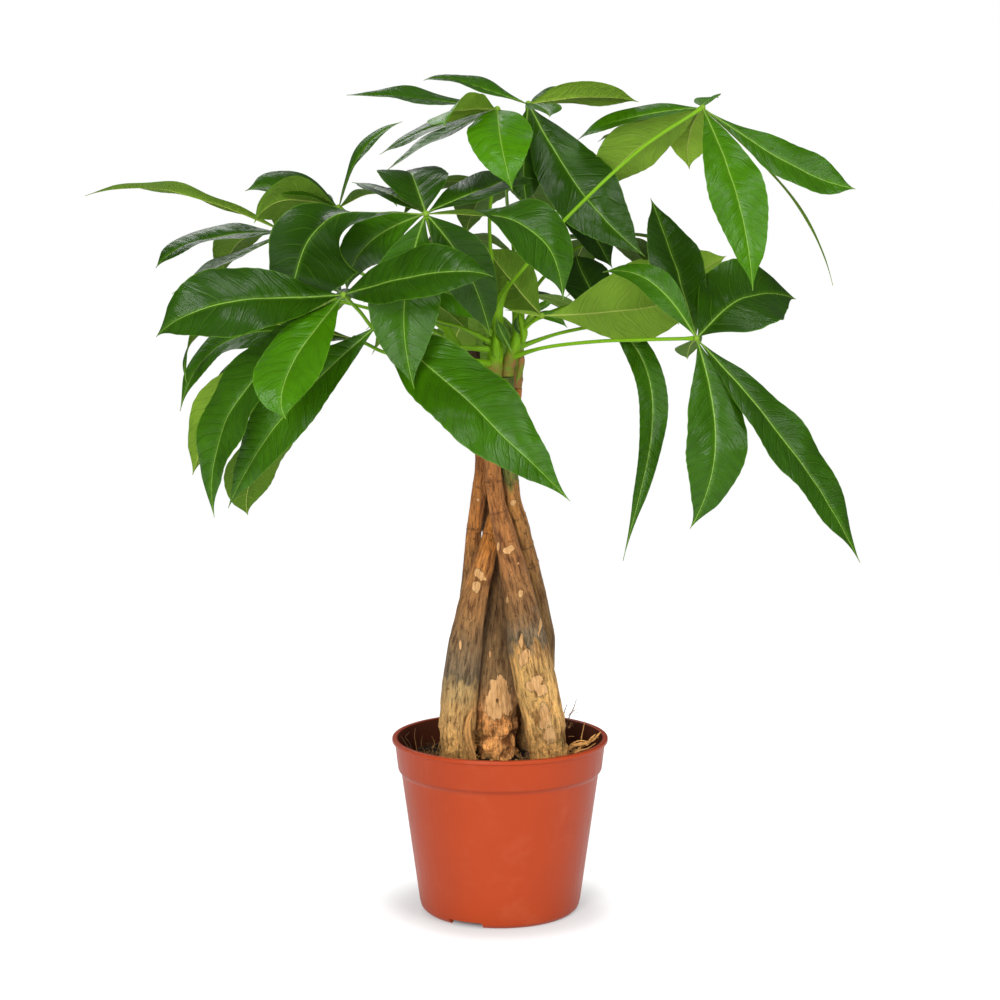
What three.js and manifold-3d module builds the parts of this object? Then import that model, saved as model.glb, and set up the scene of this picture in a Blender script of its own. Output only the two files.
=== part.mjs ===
// A potted money tree: five woody stems that lean together and cross, green shoots with long leaf
// stalks, and hand-shaped leaves, in a plain nursery pot filled with soil.
// Units are millimetres, +Z is up, and the origin is the middle of the pot's underside.
// The plant's front, the side with the two big hanging leaflets, faces -Y.

import * as THREE from 'three';
import { mergeVertices } from 'three/addons/utils/BufferGeometryUtils.js';
import Module from 'manifold-3d';

const wasm = await Module();
wasm.setup();

// ---------- driving dimensions ----------

const gap = 0.3; // clearance wherever two pieces meet

const pot = {
  height: 139,
  wall: 1.8,
  footRadius: 60,
  bodyRadiusLow: 64, // outside of the wall just above the foot
  bodyRadiusHigh: 78.4, // outside of the wall just under the rim band
  bandHeight: 25, // the wider band below the lip
  bandStep: 2.6, // how far the band stands out at its foot
  bandRadiusHigh: 83.4,
  bandSlope: 3.5, // height over which the wall widens into the band
  lipRadius: 85.6,
  lipHeight: 3,
  rounding: 0.9, // of the lip's upper edge
  footRounding: [[2, 0.8], [3.4, 2.8]], // how far out and up from the foot's outer edge
  sides: 40,
};

const foot = {
  discRadius: 38, // the flat middle that the pot stands on, with the foot ring
  channelHeight: 4, // raised drain channel between the middle and the foot ring
  channelOuter: 57,
  channelSlope: 2, // how far the channel's inner side leans
  notchCount: 3,
  notchWidth: 27,
  notchHeight: 4.5,
  notchLength: 20, // cut right through the foot ring
  firstNotchAngle: -116, // degrees from +X, which puts one notch at the front, left of the middle
  holeCount: 8,
  holeRadius: 2.5,
  holeSides: 8,
  holeCircle: 47.5,
};

const soil = {
  level: 121, // height of the surface above the pot's underside
  mound: 4, // how much higher it lies round the stems
  lumps: 1.4, // height of the uneven surface
  rings: 4,
  sides: 30,
  holeSteps: 8, // sections of each hole that a stem stands in
  stemStations: 4, // how many of a stem's stations its hole follows
};

const trunkFoot = 78; // how deep the stems stand in the soil
const trunkSides = 10;
const trunkSteps = 22;
const shootSides = 10;
const shootSteps = 8;

// Each stem runs through these stations from the soil up: x, y, z and its radius there.
const trunks = [
  {
    name: 'trunk_front_left',
    colour: '#7d5a3c',
    stations: [
      [-33, -11, trunkFoot, 11], [-33.2, -12, 121, 13.4], [-33.4, -12, 150, 14.3], [-31.6, -12, 180, 14.4],
      [-28, -12, 210, 13.6], [-23, -10, 240, 11.6], [-15, -4, 270, 9.2], [-6.5, 3, 300, 7.4],
      [2, 11, 330, 6.6], [6, 14, 360, 6.4], [9, 15, 390, 6.2], [11, 15, 415, 6.4],
    ],
  },
  {
    name: 'trunk_centre',
    colour: '#8a6a4a',
    stations: [
      [-4, 1, trunkFoot, 11], [-3.4, 0, 121, 15], [-3, 1, 150, 16.6], [-2.4, 4, 180, 15.6],
      [-2, 8, 210, 13.6], [-1, 12, 240, 11.6], [-2, 17, 270, 9.4], [-6, 22, 300, 7.8],
      [-11, 23, 330, 6.8], [-12, 21, 360, 6.4], [-11, 19, 385, 6.3], [-11, 20, 405, 6.4],
    ],
  },
  {
    name: 'trunk_front_right',
    colour: '#8d6440',
    stations: [
      [39, -14, trunkFoot, 12], [38, -16, 121, 14.4], [35.4, -16, 150, 15.8], [29, -15, 180, 16.8],
      [23, -14, 210, 16], [18, -13, 240, 13.4], [11.6, -12, 270, 11], [4.4, -12.5, 300, 8.8],
      [-3, -13, 330, 6.8], [-6, -12.5, 360, 6.1], [-7, -12, 390, 6], [-5, -12, 418, 6.2],
    ],
  },
  {
    name: 'trunk_back_right',
    colour: '#75573c',
    stations: [
      [26, 31, trunkFoot, 11], [25.5, 32, 121, 14.5], [26, 30, 150, 15.5], [28.5, 27, 180, 14.5],
      [32, 22, 210, 12.2], [28, 18, 240, 11], [22, 13, 270, 10], [16, 6, 300, 8.4],
      [10, -1, 330, 6.4], [7, -2.5, 360, 6.2], [7.5, -3, 390, 6.2], [8, -3, 425, 6.8],
    ],
  },
  {
    name: 'trunk_back_left',
    colour: '#7a4f3a',
    stations: [
      [-28, 31, trunkFoot, 10], [-28, 31, 121, 11.6], [-28, 30, 150, 11.4], [-27, 27, 180, 10.6],
      [-26, 22, 210, 9.4], [-25, 18, 240, 8], [-23, 15, 270, 6.9], [-21, 12.5, 300, 6],
      [-17, 7, 330, 5.8], [-13, 3, 358, 6.4], [-16, 3, 390, 5.6], [-19, 2, 420, 5.2], [-21, 1, 445, 5],
    ],
  },
];

// The green shoots on top of the stems: the axis of each with its radius.
const shoots = [
  {
    name: 'shoot_main',
    stations: [
      [-5, -12, 418.4, 6], [-4.7, -12, 424, 6.2], [-4, -11, 440, 6.2],
      [-3, -9, 462, 5.2], [-0.5, -16, 483, 3.8], [7, -26, 499, 2],
    ],
  },
  {
    name: 'shoot_right',
    stations: [
      [8, -3, 425.4, 6.6], [8.3, -3, 431, 6.4], [12, -3, 446, 5.6],
      [15, -4, 462, 4], [17, -5, 482, 2],
    ],
  },
  {
    name: 'shoot_back',
    stations: [
      [11, 15, 415.4, 6.2], [11.5, 15.1, 421, 6.2], [13, 18, 440, 5.8],
      [14, 22, 470, 4.4], [14, 24, 492, 2.4],
    ],
  },
  {
    name: 'shoot_left',
    stations: [
      [-11, 20, 405.4, 6.2], [-11.3, 20.3, 410, 6], [-22, 23, 430, 5.2],
      [-38, 27, 452, 4.2], [-46, 28, 470, 2.4],
    ],
  },
];

const stalk = {
  footRadius: 2.1,
  topRadius: 1.4,
  endRadius: 1.8, // slightly swollen just below the hub
  swelling: 8,
  sides: 6,
  steps: 7,
};
const hubRadius = 3; // the small knob where the leaflets of one leaf meet

const blade = {
  ribThickness: 1.5, // the blade is thickest along its rib and thins out to its edges
  widest: 0.54, // how far along the rib the blade is widest
  keel: 0.14, // how far the two halves fold up from the rib, as a part of the half width
  // the outline: how far along the rib, and the width there as a part of the full width
  outline: [[0.04, 0.06], [0.15, 0.34], [0.3, 0.76], [0.48, 0.99], [0.65, 0.93], [0.81, 0.62], [0.93, 0.22]],
};

// The leaves that show from the front. route leads from the shoot to the hub. For each leaflet, tip is
// where its tip lies from the hub, bow is how far the middle of its rib stands off the straight line, and
// face is the way its upper side looks, turning to faceTip in the outer part of a twisted leaflet, the
// later the higher its turn. A draped leaflet has stations for its rib, and halves says how wide each
// half is beside the usual. Whatever is usual is left out.
const shapedLeaves = [
  {
    name: 'leaf_front_left',
    shoot: 'shoot_main',
    route: [[-6, -12, 447], [-50, -36, 452], [-88, -62, 460], [-104, -86, 480], [-114, -110, 493]],
    leaflets: [
      { tip: [-130.5, -45, -28], bow: [-5, -20, 11], late: 0.6, width: 57, face: [0, -10, 6] },
      { tip: [109, -57, 15], bow: [6, -22, 9], widest: 0.45, width: 44, face: [-1, -14, 8] },
      { tip: [-37, -65, -85], bow: [-14, -18, -3], width: 50, face: [-3, -10, 5] },
      { tip: [-100, 25, -167], bow: [-25, -2, 12], width: 48, face: [-7, -10, 5] },
      { tip: [-49, 84, 18], bow: [-2, 0, 5], width: 36, face: [0, -2, 10] },
    ],
  },
  {
    name: 'leaf_front_high',
    shoot: 'shoot_main',
    route: [[-6, -10, 458], [-19, -50, 478], [-33, -85, 492], [-46, -112, 525], [-53, -140, 552]],
    leaflets: [
      { tip: [-20, 100, 30], bow: [0, -5, 9], width: 52, face: [0, -4, 10] },
      {
        tip: [98, -10, -61], bow: [16, -20, 24], width: 56,
        face: [2, 0, 10], faceTip: [6, -20, 2],
      },
      { tip: [46, 45, -90], bow: [3, -8, 10], width: 40, face: [2, -10, 1] },
      {
        tip: [-103, 46, -88], stations: [[-34, -5, 1], [-63, -6, -1], [-82, 2, -16], [-95, 20, -44]],
        widest: 0.66, width: 66, halves: [1.2, 0.9], keel: -0.3,
        face: [0, 1, 10], faceTip: [-8, -80, 0], turn: 2.8,
      },
      { tip: [-61, 64, -58], bow: [-9, -4, 10], width: 34, face: [4, -10, 3] },
      { tip: [-9, 8, -126], bow: [-11, 15, 6], width: 52, face: [0, -10, 2] },
      { tip: [77, 100, 26], bow: [3, -5, 5], width: 42, face: [1, -3, 10] },
      { tip: [-58, 90, 23], bow: [3, -5, 1], width: 24, face: [0, -2, 10] },
    ],
  },
  {
    name: 'leaf_front_low',
    shoot: 'shoot_main',
    route: [[-7, -14, 436], [-45, -52, 446], [-75, -78, 458], [-89, -86, 471]],
    leaflets: [
      { tip: [140, -44, -127], bow: [-4, -16, 8], widest: 0.48, width: 63, face: [4, -10, 4] },
      { tip: [-118, 31, -142], bow: [-5, -18, 11], width: 42, face: [-3, -10, 3] },
      { tip: [-107, 66, -152], bow: [-25, 0, -7], widest: 0.68, width: 44, face: [-5, 9, 5] },
    ],
  },
  {
    name: 'leaf_left_low',
    shoot: 'shoot_left',
    route: [[-38, 26, 450], [-70, 15, 440], [-91, 6, 444], [-113, 0, 455]],
    leaflets: [
      { tip: [-128, 0, -107], bow: [-15, 10, 18], widest: 0.66, width: 54, face: [-4, 8, 6] },
      { tip: [-129, -20, -33], bow: [-33, 15, 29], width: 28, face: [-2, 4, 10] },
      { tip: [-139, 15, -58], bow: [-19, 18, 30], width: 40, face: [-5, -6, 8] },
      { tip: [-118, 45, -50], bow: [-11, 18, 13], width: 36, face: [0, -4, 10] },
    ],
  },
  {
    name: 'leaf_left_far',
    shoot: 'shoot_left',
    route: [[-42, 27, 460], [-80, 32, 486], [-130, 42, 516], [-169, 52, 536]],
    leaflets: [
      { tip: [-150, -60, 29], bow: [-3, 5, 16], width: 34, face: [0, 2, 10] },
      { tip: [-107, 10, -28], bow: [-10, 10, 10], width: 38, face: [0, -4, 10] },
      { tip: [-84, -64, -46], bow: [0, 0, 2], width: 36, face: [-4, -2, 10] },
      { tip: [-66, 96, -40], bow: [-6, 4, 16], width: 42, face: [-3, 4, 10] },
      { tip: [30, 84, -34], bow: [0, 6, 14], width: 38, face: [2, 5, 10] },
    ],
  },
  {
    name: 'leaf_left_high',
    shoot: 'shoot_left',
    route: [[-45, 28, 466], [-70, 38, 505], [-105, 52, 540], [-129, 60, 556]],
    leaflets: [
      { tip: [-71, -30, 13], bow: [5, 0, 9], width: 50, face: [-2, -6, 10] },
      { tip: [-62, -52, -12], bow: [-5, -5, 12], width: 42, face: [-3, 6, 6] },
      { tip: [52, -20, 67], bow: [-9, 0, 6], width: 21, face: [-10, -4, 4] },
      { tip: [49, -50, 1], bow: [3, 0, 11], width: 34, face: [2, -3, 10] },
      { tip: [-60, 96, -22], bow: [-4, 6, 16], width: 42, face: [-3, 4, 10] },
    ],
  },
  {
    name: 'leaf_top_front',
    shoot: 'shoot_main',
    route: [[-3, -9, 472], [-8, -30, 545], [-4, -38, 588], [-2, -50, 629]],
    leaflets: [
      { tip: [11, -65, -61], bow: [-3, -18, 6], widest: 0.45, width: 48, face: [0, -10, 5] },
      { tip: [-112, -10, 10], bow: [-1, -5, 2], width: 38, face: [0, -3, 10] },
      { tip: [-37, -85, -15], bow: [-10, -6, 5], width: 40, face: [-3, 5, 8] },
      { tip: [-89, 20, -33], bow: [2, -5, 5], width: 28, face: [-2, -5, 10] },
      { tip: [-82, -30, -46], bow: [-1, -5, 2], width: 28, face: [-2, -2, 10] },
    ],
  },
  {
    name: 'leaf_top_back',
    shoot: 'shoot_back',
    route: [[14, 24, 482], [17, 30, 530], [17, 36, 598], [22, 20, 636]],
    leaflets: [
      { tip: [-82, 20, 19], bow: [-4, 5, 6], late: 0.6, width: 32, face: [0, -3, 10] },
      { tip: [85, -10, 1], bow: [-2, 0, 5], width: 40, face: [0, 5, 10] },
      { tip: [43, 70, 17], bow: [2, 0, 0], width: 28, face: [0, -2, 10] },
      { tip: [15, -80, -13], bow: [3, 0, 2], width: 26, face: [0, 0, 10] },
      { tip: [89, -40, -117], bow: [-9, 0, -2], width: 58, face: [3, -10, 3] },
      { tip: [68, 40, -128], bow: [4, 5, -10], width: 42, face: [5, -10, 4] },
      { tip: [-1, -30, -78], bow: [-3, 0, -4], width: 32, face: [0, -10, 3] },
    ],
  },
  {
    name: 'leaf_top_right',
    shoot: 'shoot_main',
    route: [[-4, -9, 462], [0, -20, 485], [21, -35, 514], [50, -45, 548], [106, -46, 600], [153, -30, 631]],
    leaflets: [
      { tip: [34, -55, -136], bow: [3, -18, 9], width: 44, face: [2, -10, 3] },
      { tip: [117, 0, -61], bow: [1, 0, -8], widest: 0.62, width: 40, face: [2, -10, 8] },
      { tip: [109, 55, -136], bow: [11, 2, 9], width: 12, face: [10, 0, 6] },
      { tip: [19, 75, 11], bow: [-3, -2, 2], width: 20, face: [0, 6, 10] },
      { tip: [-93, 45, -23], bow: [-5, -2, 5], width: 34, face: [-2, -5, 10] },
      { tip: [-75, 90, -23], bow: [-1, 0, 4], width: 34, face: [-2, -3, 10] },
      { tip: [-82, 62, -67], bow: [-4, 4, 5], width: 50, face: [-3, 8, 6] },
      { tip: [-4, 66, -45], bow: [-4, 5, 6], width: 40, face: [3, 8, 4] },
    ],
  },
  {
    name: 'leaf_right_low',
    shoot: 'shoot_right',
    route: [[10, -5, 441], [34, -20, 449], [75, -40, 455], [105, -54, 457], [147, -70, 459]],
    leaflets: [
      { tip: [-70, 10, 49], bow: [5, -10, 14], width: 26, face: [-5, -7, 10] },
      { tip: [-30, 80, 104], bow: [3, -5, -4], width: 43, face: [3, -10, 3] },
      { tip: [84, 80, 26], bow: [-6, -5, 14], width: 68, face: [1, -10, 7] },
      { tip: [-5, -20, -141], bow: [15, -15, 4], width: 48, face: [3, -10, 2] },
      { tip: [124, -10, -168], bow: [2, -12, 10], width: 44, face: [6, -10, 6] },
      { tip: [-1, 70, -20], bow: [-2, -5, 3], width: 22, face: [-4, 6, 10] },
    ],
  },
  {
    name: 'leaf_right_inner',
    shoot: 'shoot_right',
    route: [[16, -5, 460], [24, -18, 468], [32, -30, 474]],
    leaflets: [
      { tip: [126, 40, 14], bow: [0, 5, -4], widest: 0.62, width: 74, halves: [0.75, 1], face: [0, 10, 2] },
      { tip: [-43, 30, 52], bow: [-1, 5, -1], width: 44, face: [2, 10, 4] },
      { tip: [-28, -10, 5], bow: [1, 0, 0], width: 16, face: [0, 2, 10] },
    ],
  },
  {
    name: 'leaf_young',
    shoot: 'shoot_right',
    route: [[16, -4, 462], [20, -6, 468], [24, -8, 473]],
    leaflets: [
      { tip: [28, -3, -9], bow: [0, 0, 4], width: 12, face: [0, -6, 10] },
      { tip: [-9, -2, 14], bow: [-3, 0, 1], width: 7, face: [-8, -8, 4] },
      { tip: [16, 6, 10], bow: [1, 0, 2], width: 8, face: [0, -6, 10] },
    ],
  },
  {
    name: 'leaf_right_behind',
    shoot: 'shoot_right',
    route: [[14, 0, 448], [45, 10, 458], [88, 25, 466]],
    leaflets: [
      { tip: [9, -25, -186], bow: [27, -2, 9], late: -0.5, widest: 0.3, width: 25, face: [3, -10, 2] },
      { tip: [95, 55, 51], bow: [5, 8, 3], width: 44, face: [-1, 10, 4] },
      { tip: [-26, 55, 52], bow: [-5, 2, 4], width: 38, face: [-1, -10, 5] },
      { tip: [60, 90, -6], bow: [4, 0, 16], width: 42, face: [2, 2, 10] },
    ],
  },
  {
    name: 'leaf_inner',
    shoot: 'shoot_main',
    route: [[-6, -12, 452], [-28, -22, 464], [-52, -34, 473], [-67, -40, 492]],
    leaflets: [
      { tip: [58, 19, -25], bow: [-1, -3, 11], width: 34, face: [0, -10, 8] },
      { tip: [44, 40, -33], bow: [-2, 9, 5], width: 32, face: [0, 8, 6] },
      { tip: [-40, 60, -10], bow: [0, 0, 8], width: 32, face: [0, 2, 10] },
    ],
  },
];

const fan = {
  shortening: 0.3, // how much shorter the outermost leaflets are
  narrowing: 0.15,
  arch: 0.12, // how high a leaflet bows above the straight line, as a part of its length
  lean: 0.1, // how far a hanging leaflet bows outwards, as a part of its drop
};

// The leaves of the back, each a fan. heading is the way the leaf points, in degrees from +X, spread is
// how far its outermost leaflets turn from that, and hang is how steeply each leaflet points down.
const fanLeaves = [
  {
    name: 'leaf_back_left',
    shoot: 'shoot_left',
    route: [[-40, 27, 454], [-72, 62, 466], [-108, 98, 474], [-138, 122, 480]],
    heading: 118, spread: 88, reach: 122, width: 46, hang: [5, 10, 17, 22, 12, 5],
  },
  {
    name: 'leaf_back_left_high',
    shoot: 'shoot_left',
    route: [[-46, 28, 468], [-54, 70, 500], [-60, 110, 520], [-62, 138, 528]],
    heading: 95, spread: 68, reach: 122, width: 44, hang: [10, 14, 22, 17, 10],
  },
  {
    name: 'leaf_back_high',
    shoot: 'shoot_back',
    route: [[14, 24, 486], [10, 60, 530], [6, 100, 558], [5, 125, 572]],
    heading: 90, spread: 85, reach: 132, width: 46, hang: [4, 10, 16, 19, 12, 6],
  },
  {
    name: 'leaf_back_right_high',
    shoot: 'shoot_back',
    route: [[14, 22, 474], [36, 50, 502], [60, 78, 522], [76, 98, 530]],
    heading: 78, spread: 62, reach: 116, width: 42, hang: [10, 20, 24, 14],
  },
  {
    name: 'leaf_back_right_low',
    shoot: 'shoot_back',
    route: [[14, 21, 464], [55, 52, 478], [100, 88, 486], [135, 112, 490]],
    heading: 72, spread: 84, reach: 126, width: 46, hang: [3, 10, 20, 16, 6],
  },
  {
    name: 'leaf_back_low',
    shoot: 'shoot_back',
    route: [[13, 19, 452], [2, 55, 466], [-12, 90, 474], [-20, 112, 478]],
    heading: 94, spread: 84, reach: 134, width: 46, hang: [6, 9, 46, 50, 23, 14],
  },
];

// ---------- solids and meshes ----------

function toSolid(geometry) {
  geometry.deleteAttribute('normal');
  geometry.deleteAttribute('uv');
  const merged = mergeVertices(geometry, 1e-5);
  return new wasm.Manifold(new wasm.Mesh({
    numProp: 3,
    vertProperties: new Float32Array(merged.attributes.position.array),
    triVerts: new Uint32Array(merged.index.array),
  }));
}

function toMesh(name, solid, material) {
  const { vertProperties, triVerts } = solid.getMesh();
  const geometry = new THREE.BufferGeometry();
  geometry.setAttribute('position', new THREE.BufferAttribute(vertProperties, 3));
  geometry.setIndex(new THREE.BufferAttribute(triVerts, 1));
  geometry.computeVertexNormals();
  const mesh = new THREE.Mesh(geometry, material);
  mesh.name = name;
  return mesh;
}

function closedGeometry(points, triangles) {
  const geometry = new THREE.BufferGeometry();
  geometry.setAttribute('position', new THREE.Float32BufferAttribute(points.flatMap((p) => p.toArray()), 3));
  geometry.setIndex(triangles);
  return geometry;
}

function vector([x, y, z]) {
  return new THREE.Vector3(x, y, z);
}

// A closed skin over rings of points, each ring running the same way round, with a point at both ends.
function skinOverRings(startPoint, rings, endPoint) {
  const sides = rings[0].length;
  const points = [startPoint, ...rings.flat(), endPoint];
  const last = points.length - 1;
  const triangles = [];
  for (let side = 0; side < sides; side++) {
    const next = (side + 1) % sides;
    triangles.push(0, 1 + next, 1 + side);
    for (let ring = 0; ring < rings.length - 1; ring++) {
      const low = 1 + ring * sides;
      const high = low + sides;
      triangles.push(low + side, low + next, high + next);
      triangles.push(low + side, high + next, high + side);
    }
    triangles.push(last, last - sides + side, last - sides + next);
  }
  return closedGeometry(points, triangles);
}

// A round limb along a smooth line through its stations, each [x, y, z, radius].
function limb(stations, sides, steps, extraRadius = 0) {
  const axis = new THREE.CatmullRomCurve3(stations.map(vector), false, 'centripetal');
  const across = new THREE.Vector3(1, 0, 0);
  const rings = [];
  for (let step = 0; step <= steps; step++) {
    const along = step / steps;
    const place = along * (stations.length - 1);
    const index = Math.min(Math.floor(place), stations.length - 2);
    const blend = THREE.MathUtils.smoothstep(place - index, 0, 1);
    const radius = THREE.MathUtils.lerp(stations[index][3], stations[index + 1][3], blend) + extraRadius;
    const centre = axis.getPoint(along);
    const tangent = axis.getTangent(along);
    across.addScaledVector(tangent, -across.dot(tangent)).normalize();
    const upward = tangent.clone().cross(across);
    const ring = [];
    for (let side = 0; side < sides; side++) {
      const turn = (side / sides) * 2 * Math.PI;
      ring.push(centre.clone()
        .addScaledVector(across, radius * Math.cos(turn))
        .addScaledVector(upward, radius * Math.sin(turn)));
    }
    rings.push(ring);
  }
  return toSolid(skinOverRings(axis.getPoint(0), rings, axis.getPoint(1)));
}

// ---------- pot ----------

function potSolid() {
  const bandFoot = pot.height - pot.bandHeight;
  const bandRadiusLow = pot.bodyRadiusHigh + pot.bandStep;
  const inner = (radius) => radius - pot.wall;
  const floorTop = foot.channelHeight + pot.wall;
  const outline = [
    [0, 0],
    [foot.discRadius, 0],
    [foot.discRadius + foot.channelSlope, foot.channelHeight],
    [foot.channelOuter, foot.channelHeight],
    [foot.channelOuter + 1, 0],
    [pot.footRadius, 0],
    ...pot.footRounding.map(([out, up]) => [pot.footRadius + out, up]),
    [pot.bodyRadiusLow, floorTop + 1],
    [pot.bodyRadiusHigh, bandFoot - pot.bandSlope],
    [bandRadiusLow, bandFoot],
    [pot.bandRadiusHigh, pot.height - pot.lipHeight - 1],
    [pot.lipRadius, pot.height - pot.lipHeight],
    [pot.lipRadius, pot.height - pot.rounding],
    [pot.lipRadius - pot.rounding, pot.height],
    [inner(pot.bandRadiusHigh), pot.height],
    [inner(bandRadiusLow), bandFoot + 1],
    [inner(pot.bodyRadiusHigh), bandFoot + 1 - pot.bandSlope],
    [inner(pot.bodyRadiusLow), floorTop + pot.wall],
    [pot.footRadius, floorTop],
    [foot.discRadius, floorTop],
    [foot.discRadius - foot.channelSlope, pot.wall],
    [0, pot.wall],
  ];
  const shell = new THREE.LatheGeometry(outline.map(([r, z]) => new THREE.Vector2(r, z)), pot.sides);
  shell.rotateX(Math.PI / 2);
  let solid = toSolid(shell);
  for (let notch = 0; notch < foot.notchCount; notch++) {
    const angle = THREE.MathUtils.degToRad(foot.firstNotchAngle + notch * (360 / foot.notchCount));
    const cut = new THREE.BoxGeometry(foot.notchLength, foot.notchWidth, 2 * foot.notchHeight);
    cut.translate(foot.channelOuter - 1 + foot.notchLength / 2, 0, 0);
    cut.rotateZ(angle);
    solid = solid.subtract(toSolid(cut));
  }
  for (let hole = 0; hole < foot.holeCount; hole++) {
    const angle = ((hole + 0.5) / foot.holeCount) * 2 * Math.PI;
    const drillLength = 4 * floorTop;
    const drill = new THREE.CylinderGeometry(foot.holeRadius, foot.holeRadius, drillLength, foot.holeSides);
    drill.rotateX(Math.PI / 2);
    drill.translate(foot.holeCircle * Math.cos(angle), foot.holeCircle * Math.sin(angle), floorTop);
    solid = solid.subtract(toSolid(drill));
  }
  return solid;
}

// ---------- soil ----------

// The surface rises gently to the middle and is uneven by two crossing waves.
function soilHeight(x, y, radius) {
  const rise = soil.mound * (1 - radius * radius);
  const uneven = Math.sin(x / 7 + 1.3) * Math.cos(y / 9 - 0.4) + 0.5 * Math.sin((x + y) / 4);
  return soil.level - soil.mound / 2 + rise + soil.lumps * uneven * (1 - radius ** 6);
}

function soilSolid() {
  const floorTop = foot.channelHeight + pot.wall;
  const wallFoot = floorTop + 1;
  const wallTop = pot.height - pot.bandHeight - pot.bandSlope;
  const lean = (pot.bodyRadiusHigh - pot.bodyRadiusLow) / (wallTop - wallFoot);
  const innerRadius = (z) => pot.bodyRadiusLow + lean * (z - wallFoot) - pot.wall - 2 * gap;
  const ringAt = (radius, height) => Array.from({ length: soil.sides }, (unused, side) => {
    const turn = (side / soil.sides) * 2 * Math.PI;
    const x = radius * Math.cos(turn);
    const y = radius * Math.sin(turn);
    return new THREE.Vector3(x, y, height(x, y));
  });
  const edgeHeight = soil.level - soil.mound / 2;
  const edgeRadius = innerRadius(edgeHeight);
  const rings = [
    ringAt(pot.footRadius - 2, () => floorTop + gap),
    ringAt(innerRadius(floorTop + 4) - gap, () => floorTop + 4),
  ];
  for (let ring = soil.rings; ring > 0; ring--) {
    const share = ring / soil.rings;
    rings.push(ringAt(edgeRadius * share, (x, y) => soilHeight(x, y, share)));
  }
  const low = new THREE.Vector3(0, 0, floorTop + gap);
  const high = new THREE.Vector3(0, 0, soilHeight(0, 0, 0));
  let solid = toSolid(skinOverRings(low, rings, high));
  for (const trunk of trunks) {
    const [[x, y, z, radius], ...above] = trunk.stations.slice(0, soil.stemStations);
    const stations = [[x, y, z - gap, radius], ...above];
    solid = solid.subtract(limb(stations, trunkSides, soil.holeSteps, 2 * gap));
  }
  return solid;
}

// ---------- leaves ----------

// The rib runs from the hub to the tip and bows off the straight line, most of all at its middle, or
// nearer the tip where late is more than nothing. A rib with stations runs smoothly through them.
function ribPoint({ tip, bow, stations, late = 0.3 }, along) {
  if (stations) {
    const path = new THREE.CatmullRomCurve3([[0, 0, 0], ...stations, tip].map(vector));
    return path.getPoint(along);
  }
  const bend = 4 * along * (1 - along) * (1 + late * (2 * along - 1));
  return vector(tip).multiplyScalar(along).addScaledVector(vector(bow), bend);
}

// One leaflet: a thin blade along its rib, with four corners at each section (the two edges and the
// rib's upper and lower side), so that both faces are split into triangles alike.
function leafletGeometry(hub, leaflet) {
  const { face, faceTip = face, turn = 2, width, widest = blade.widest } = leaflet;
  const { keel = blade.keel, halves: [leftShare, rightShare] = [1, 1] } = leaflet;
  const start = vector(hub);
  const step = 0.01;
  const stretch = Math.log(widest) / Math.log(blade.widest);
  const sections = blade.outline.map(([place, share]) => {
    const along = place ** stretch;
    const centre = ribPoint(leaflet, along).add(start);
    const tangent = ribPoint(leaflet, along + step).sub(ribPoint(leaflet, along - step)).normalize();
    const facing = vector(face).lerp(vector(faceTip), along ** turn);
    const side = tangent.clone().cross(facing).normalize();
    const upper = side.clone().cross(tangent);
    const halfWidth = (width / 2) * share;
    const halfThickness = (blade.ribThickness / 2) * Math.min(1, 0.4 + share);
    const edge = (reach) => centre.clone()
      .addScaledVector(side, reach)
      .addScaledVector(upper, Math.abs(reach) * keel);
    return [
      edge(halfWidth * rightShare),
      centre.clone().addScaledVector(upper, -halfThickness),
      edge(-halfWidth * leftShare),
      centre.clone().addScaledVector(upper, halfThickness),
    ];
  });
  return bladeSkin(start, sections, ribPoint(leaflet, 1).add(start));
}

// The skin of a blade. Each strip between two sections is cut from an edge to the rib ahead of it.
function bladeSkin(start, sections, end) {
  const points = [start, ...sections.flat(), end];
  const last = points.length - 1;
  const triangles = [];
  const corners = 4;
  for (let corner = 0; corner < corners; corner++) {
    const next = (corner + 1) % corners;
    const onEdge = corner % 2 === 0;
    triangles.push(0, 1 + next, 1 + corner);
    for (let section = 0; section < sections.length - 1; section++) {
      const near = 1 + section * corners;
      const far = near + corners;
      if (onEdge) {
        triangles.push(near + corner, near + next, far + next);
        triangles.push(near + corner, far + next, far + corner);
      } else {
        triangles.push(near + corner, near + next, far + corner);
        triangles.push(near + next, far + next, far + corner);
      }
    }
    triangles.push(last, last - corners + corner, last - corners + next);
  }
  return closedGeometry(points, triangles);
}

// The leaflets of a fan: the middle ones are the longest and widest.
function fanLeaflets({ heading, spread, reach, width, hang }) {
  return hang.map((degrees, index) => {
    const share = (2 * index) / (hang.length - 1) - 1;
    const turn = THREE.MathUtils.degToRad(heading + spread * share);
    const tilt = THREE.MathUtils.degToRad(degrees);
    const length = reach * (1 - fan.shortening * share * share);
    const level = length * Math.cos(tilt);
    const drop = length * Math.sin(tilt);
    const outward = (amount, height) => [amount * Math.cos(turn), amount * Math.sin(turn), height];
    return {
      tip: outward(level, -drop),
      bow: outward(fan.lean * drop, fan.arch * length),
      width: width * (1 - fan.narrowing * Math.abs(share)),
      face: outward(fan.arch * 2.5 * length + drop, level),
    };
  });
}

function leafSolid(leaf) {
  const hub = leaf.route.at(-1);
  const knob = new THREE.IcosahedronGeometry(hubRadius, 0);
  knob.translate(...hub);
  const leaflets = leaf.leaflets ?? fanLeaflets(leaf);
  const blades = leaflets.map((leaflet) => toSolid(leafletGeometry(hub, leaflet)));
  return blades.reduce((joined, next) => joined.add(next), toSolid(knob));
}

// ---------- shoots with their leaf stalks ----------

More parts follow.
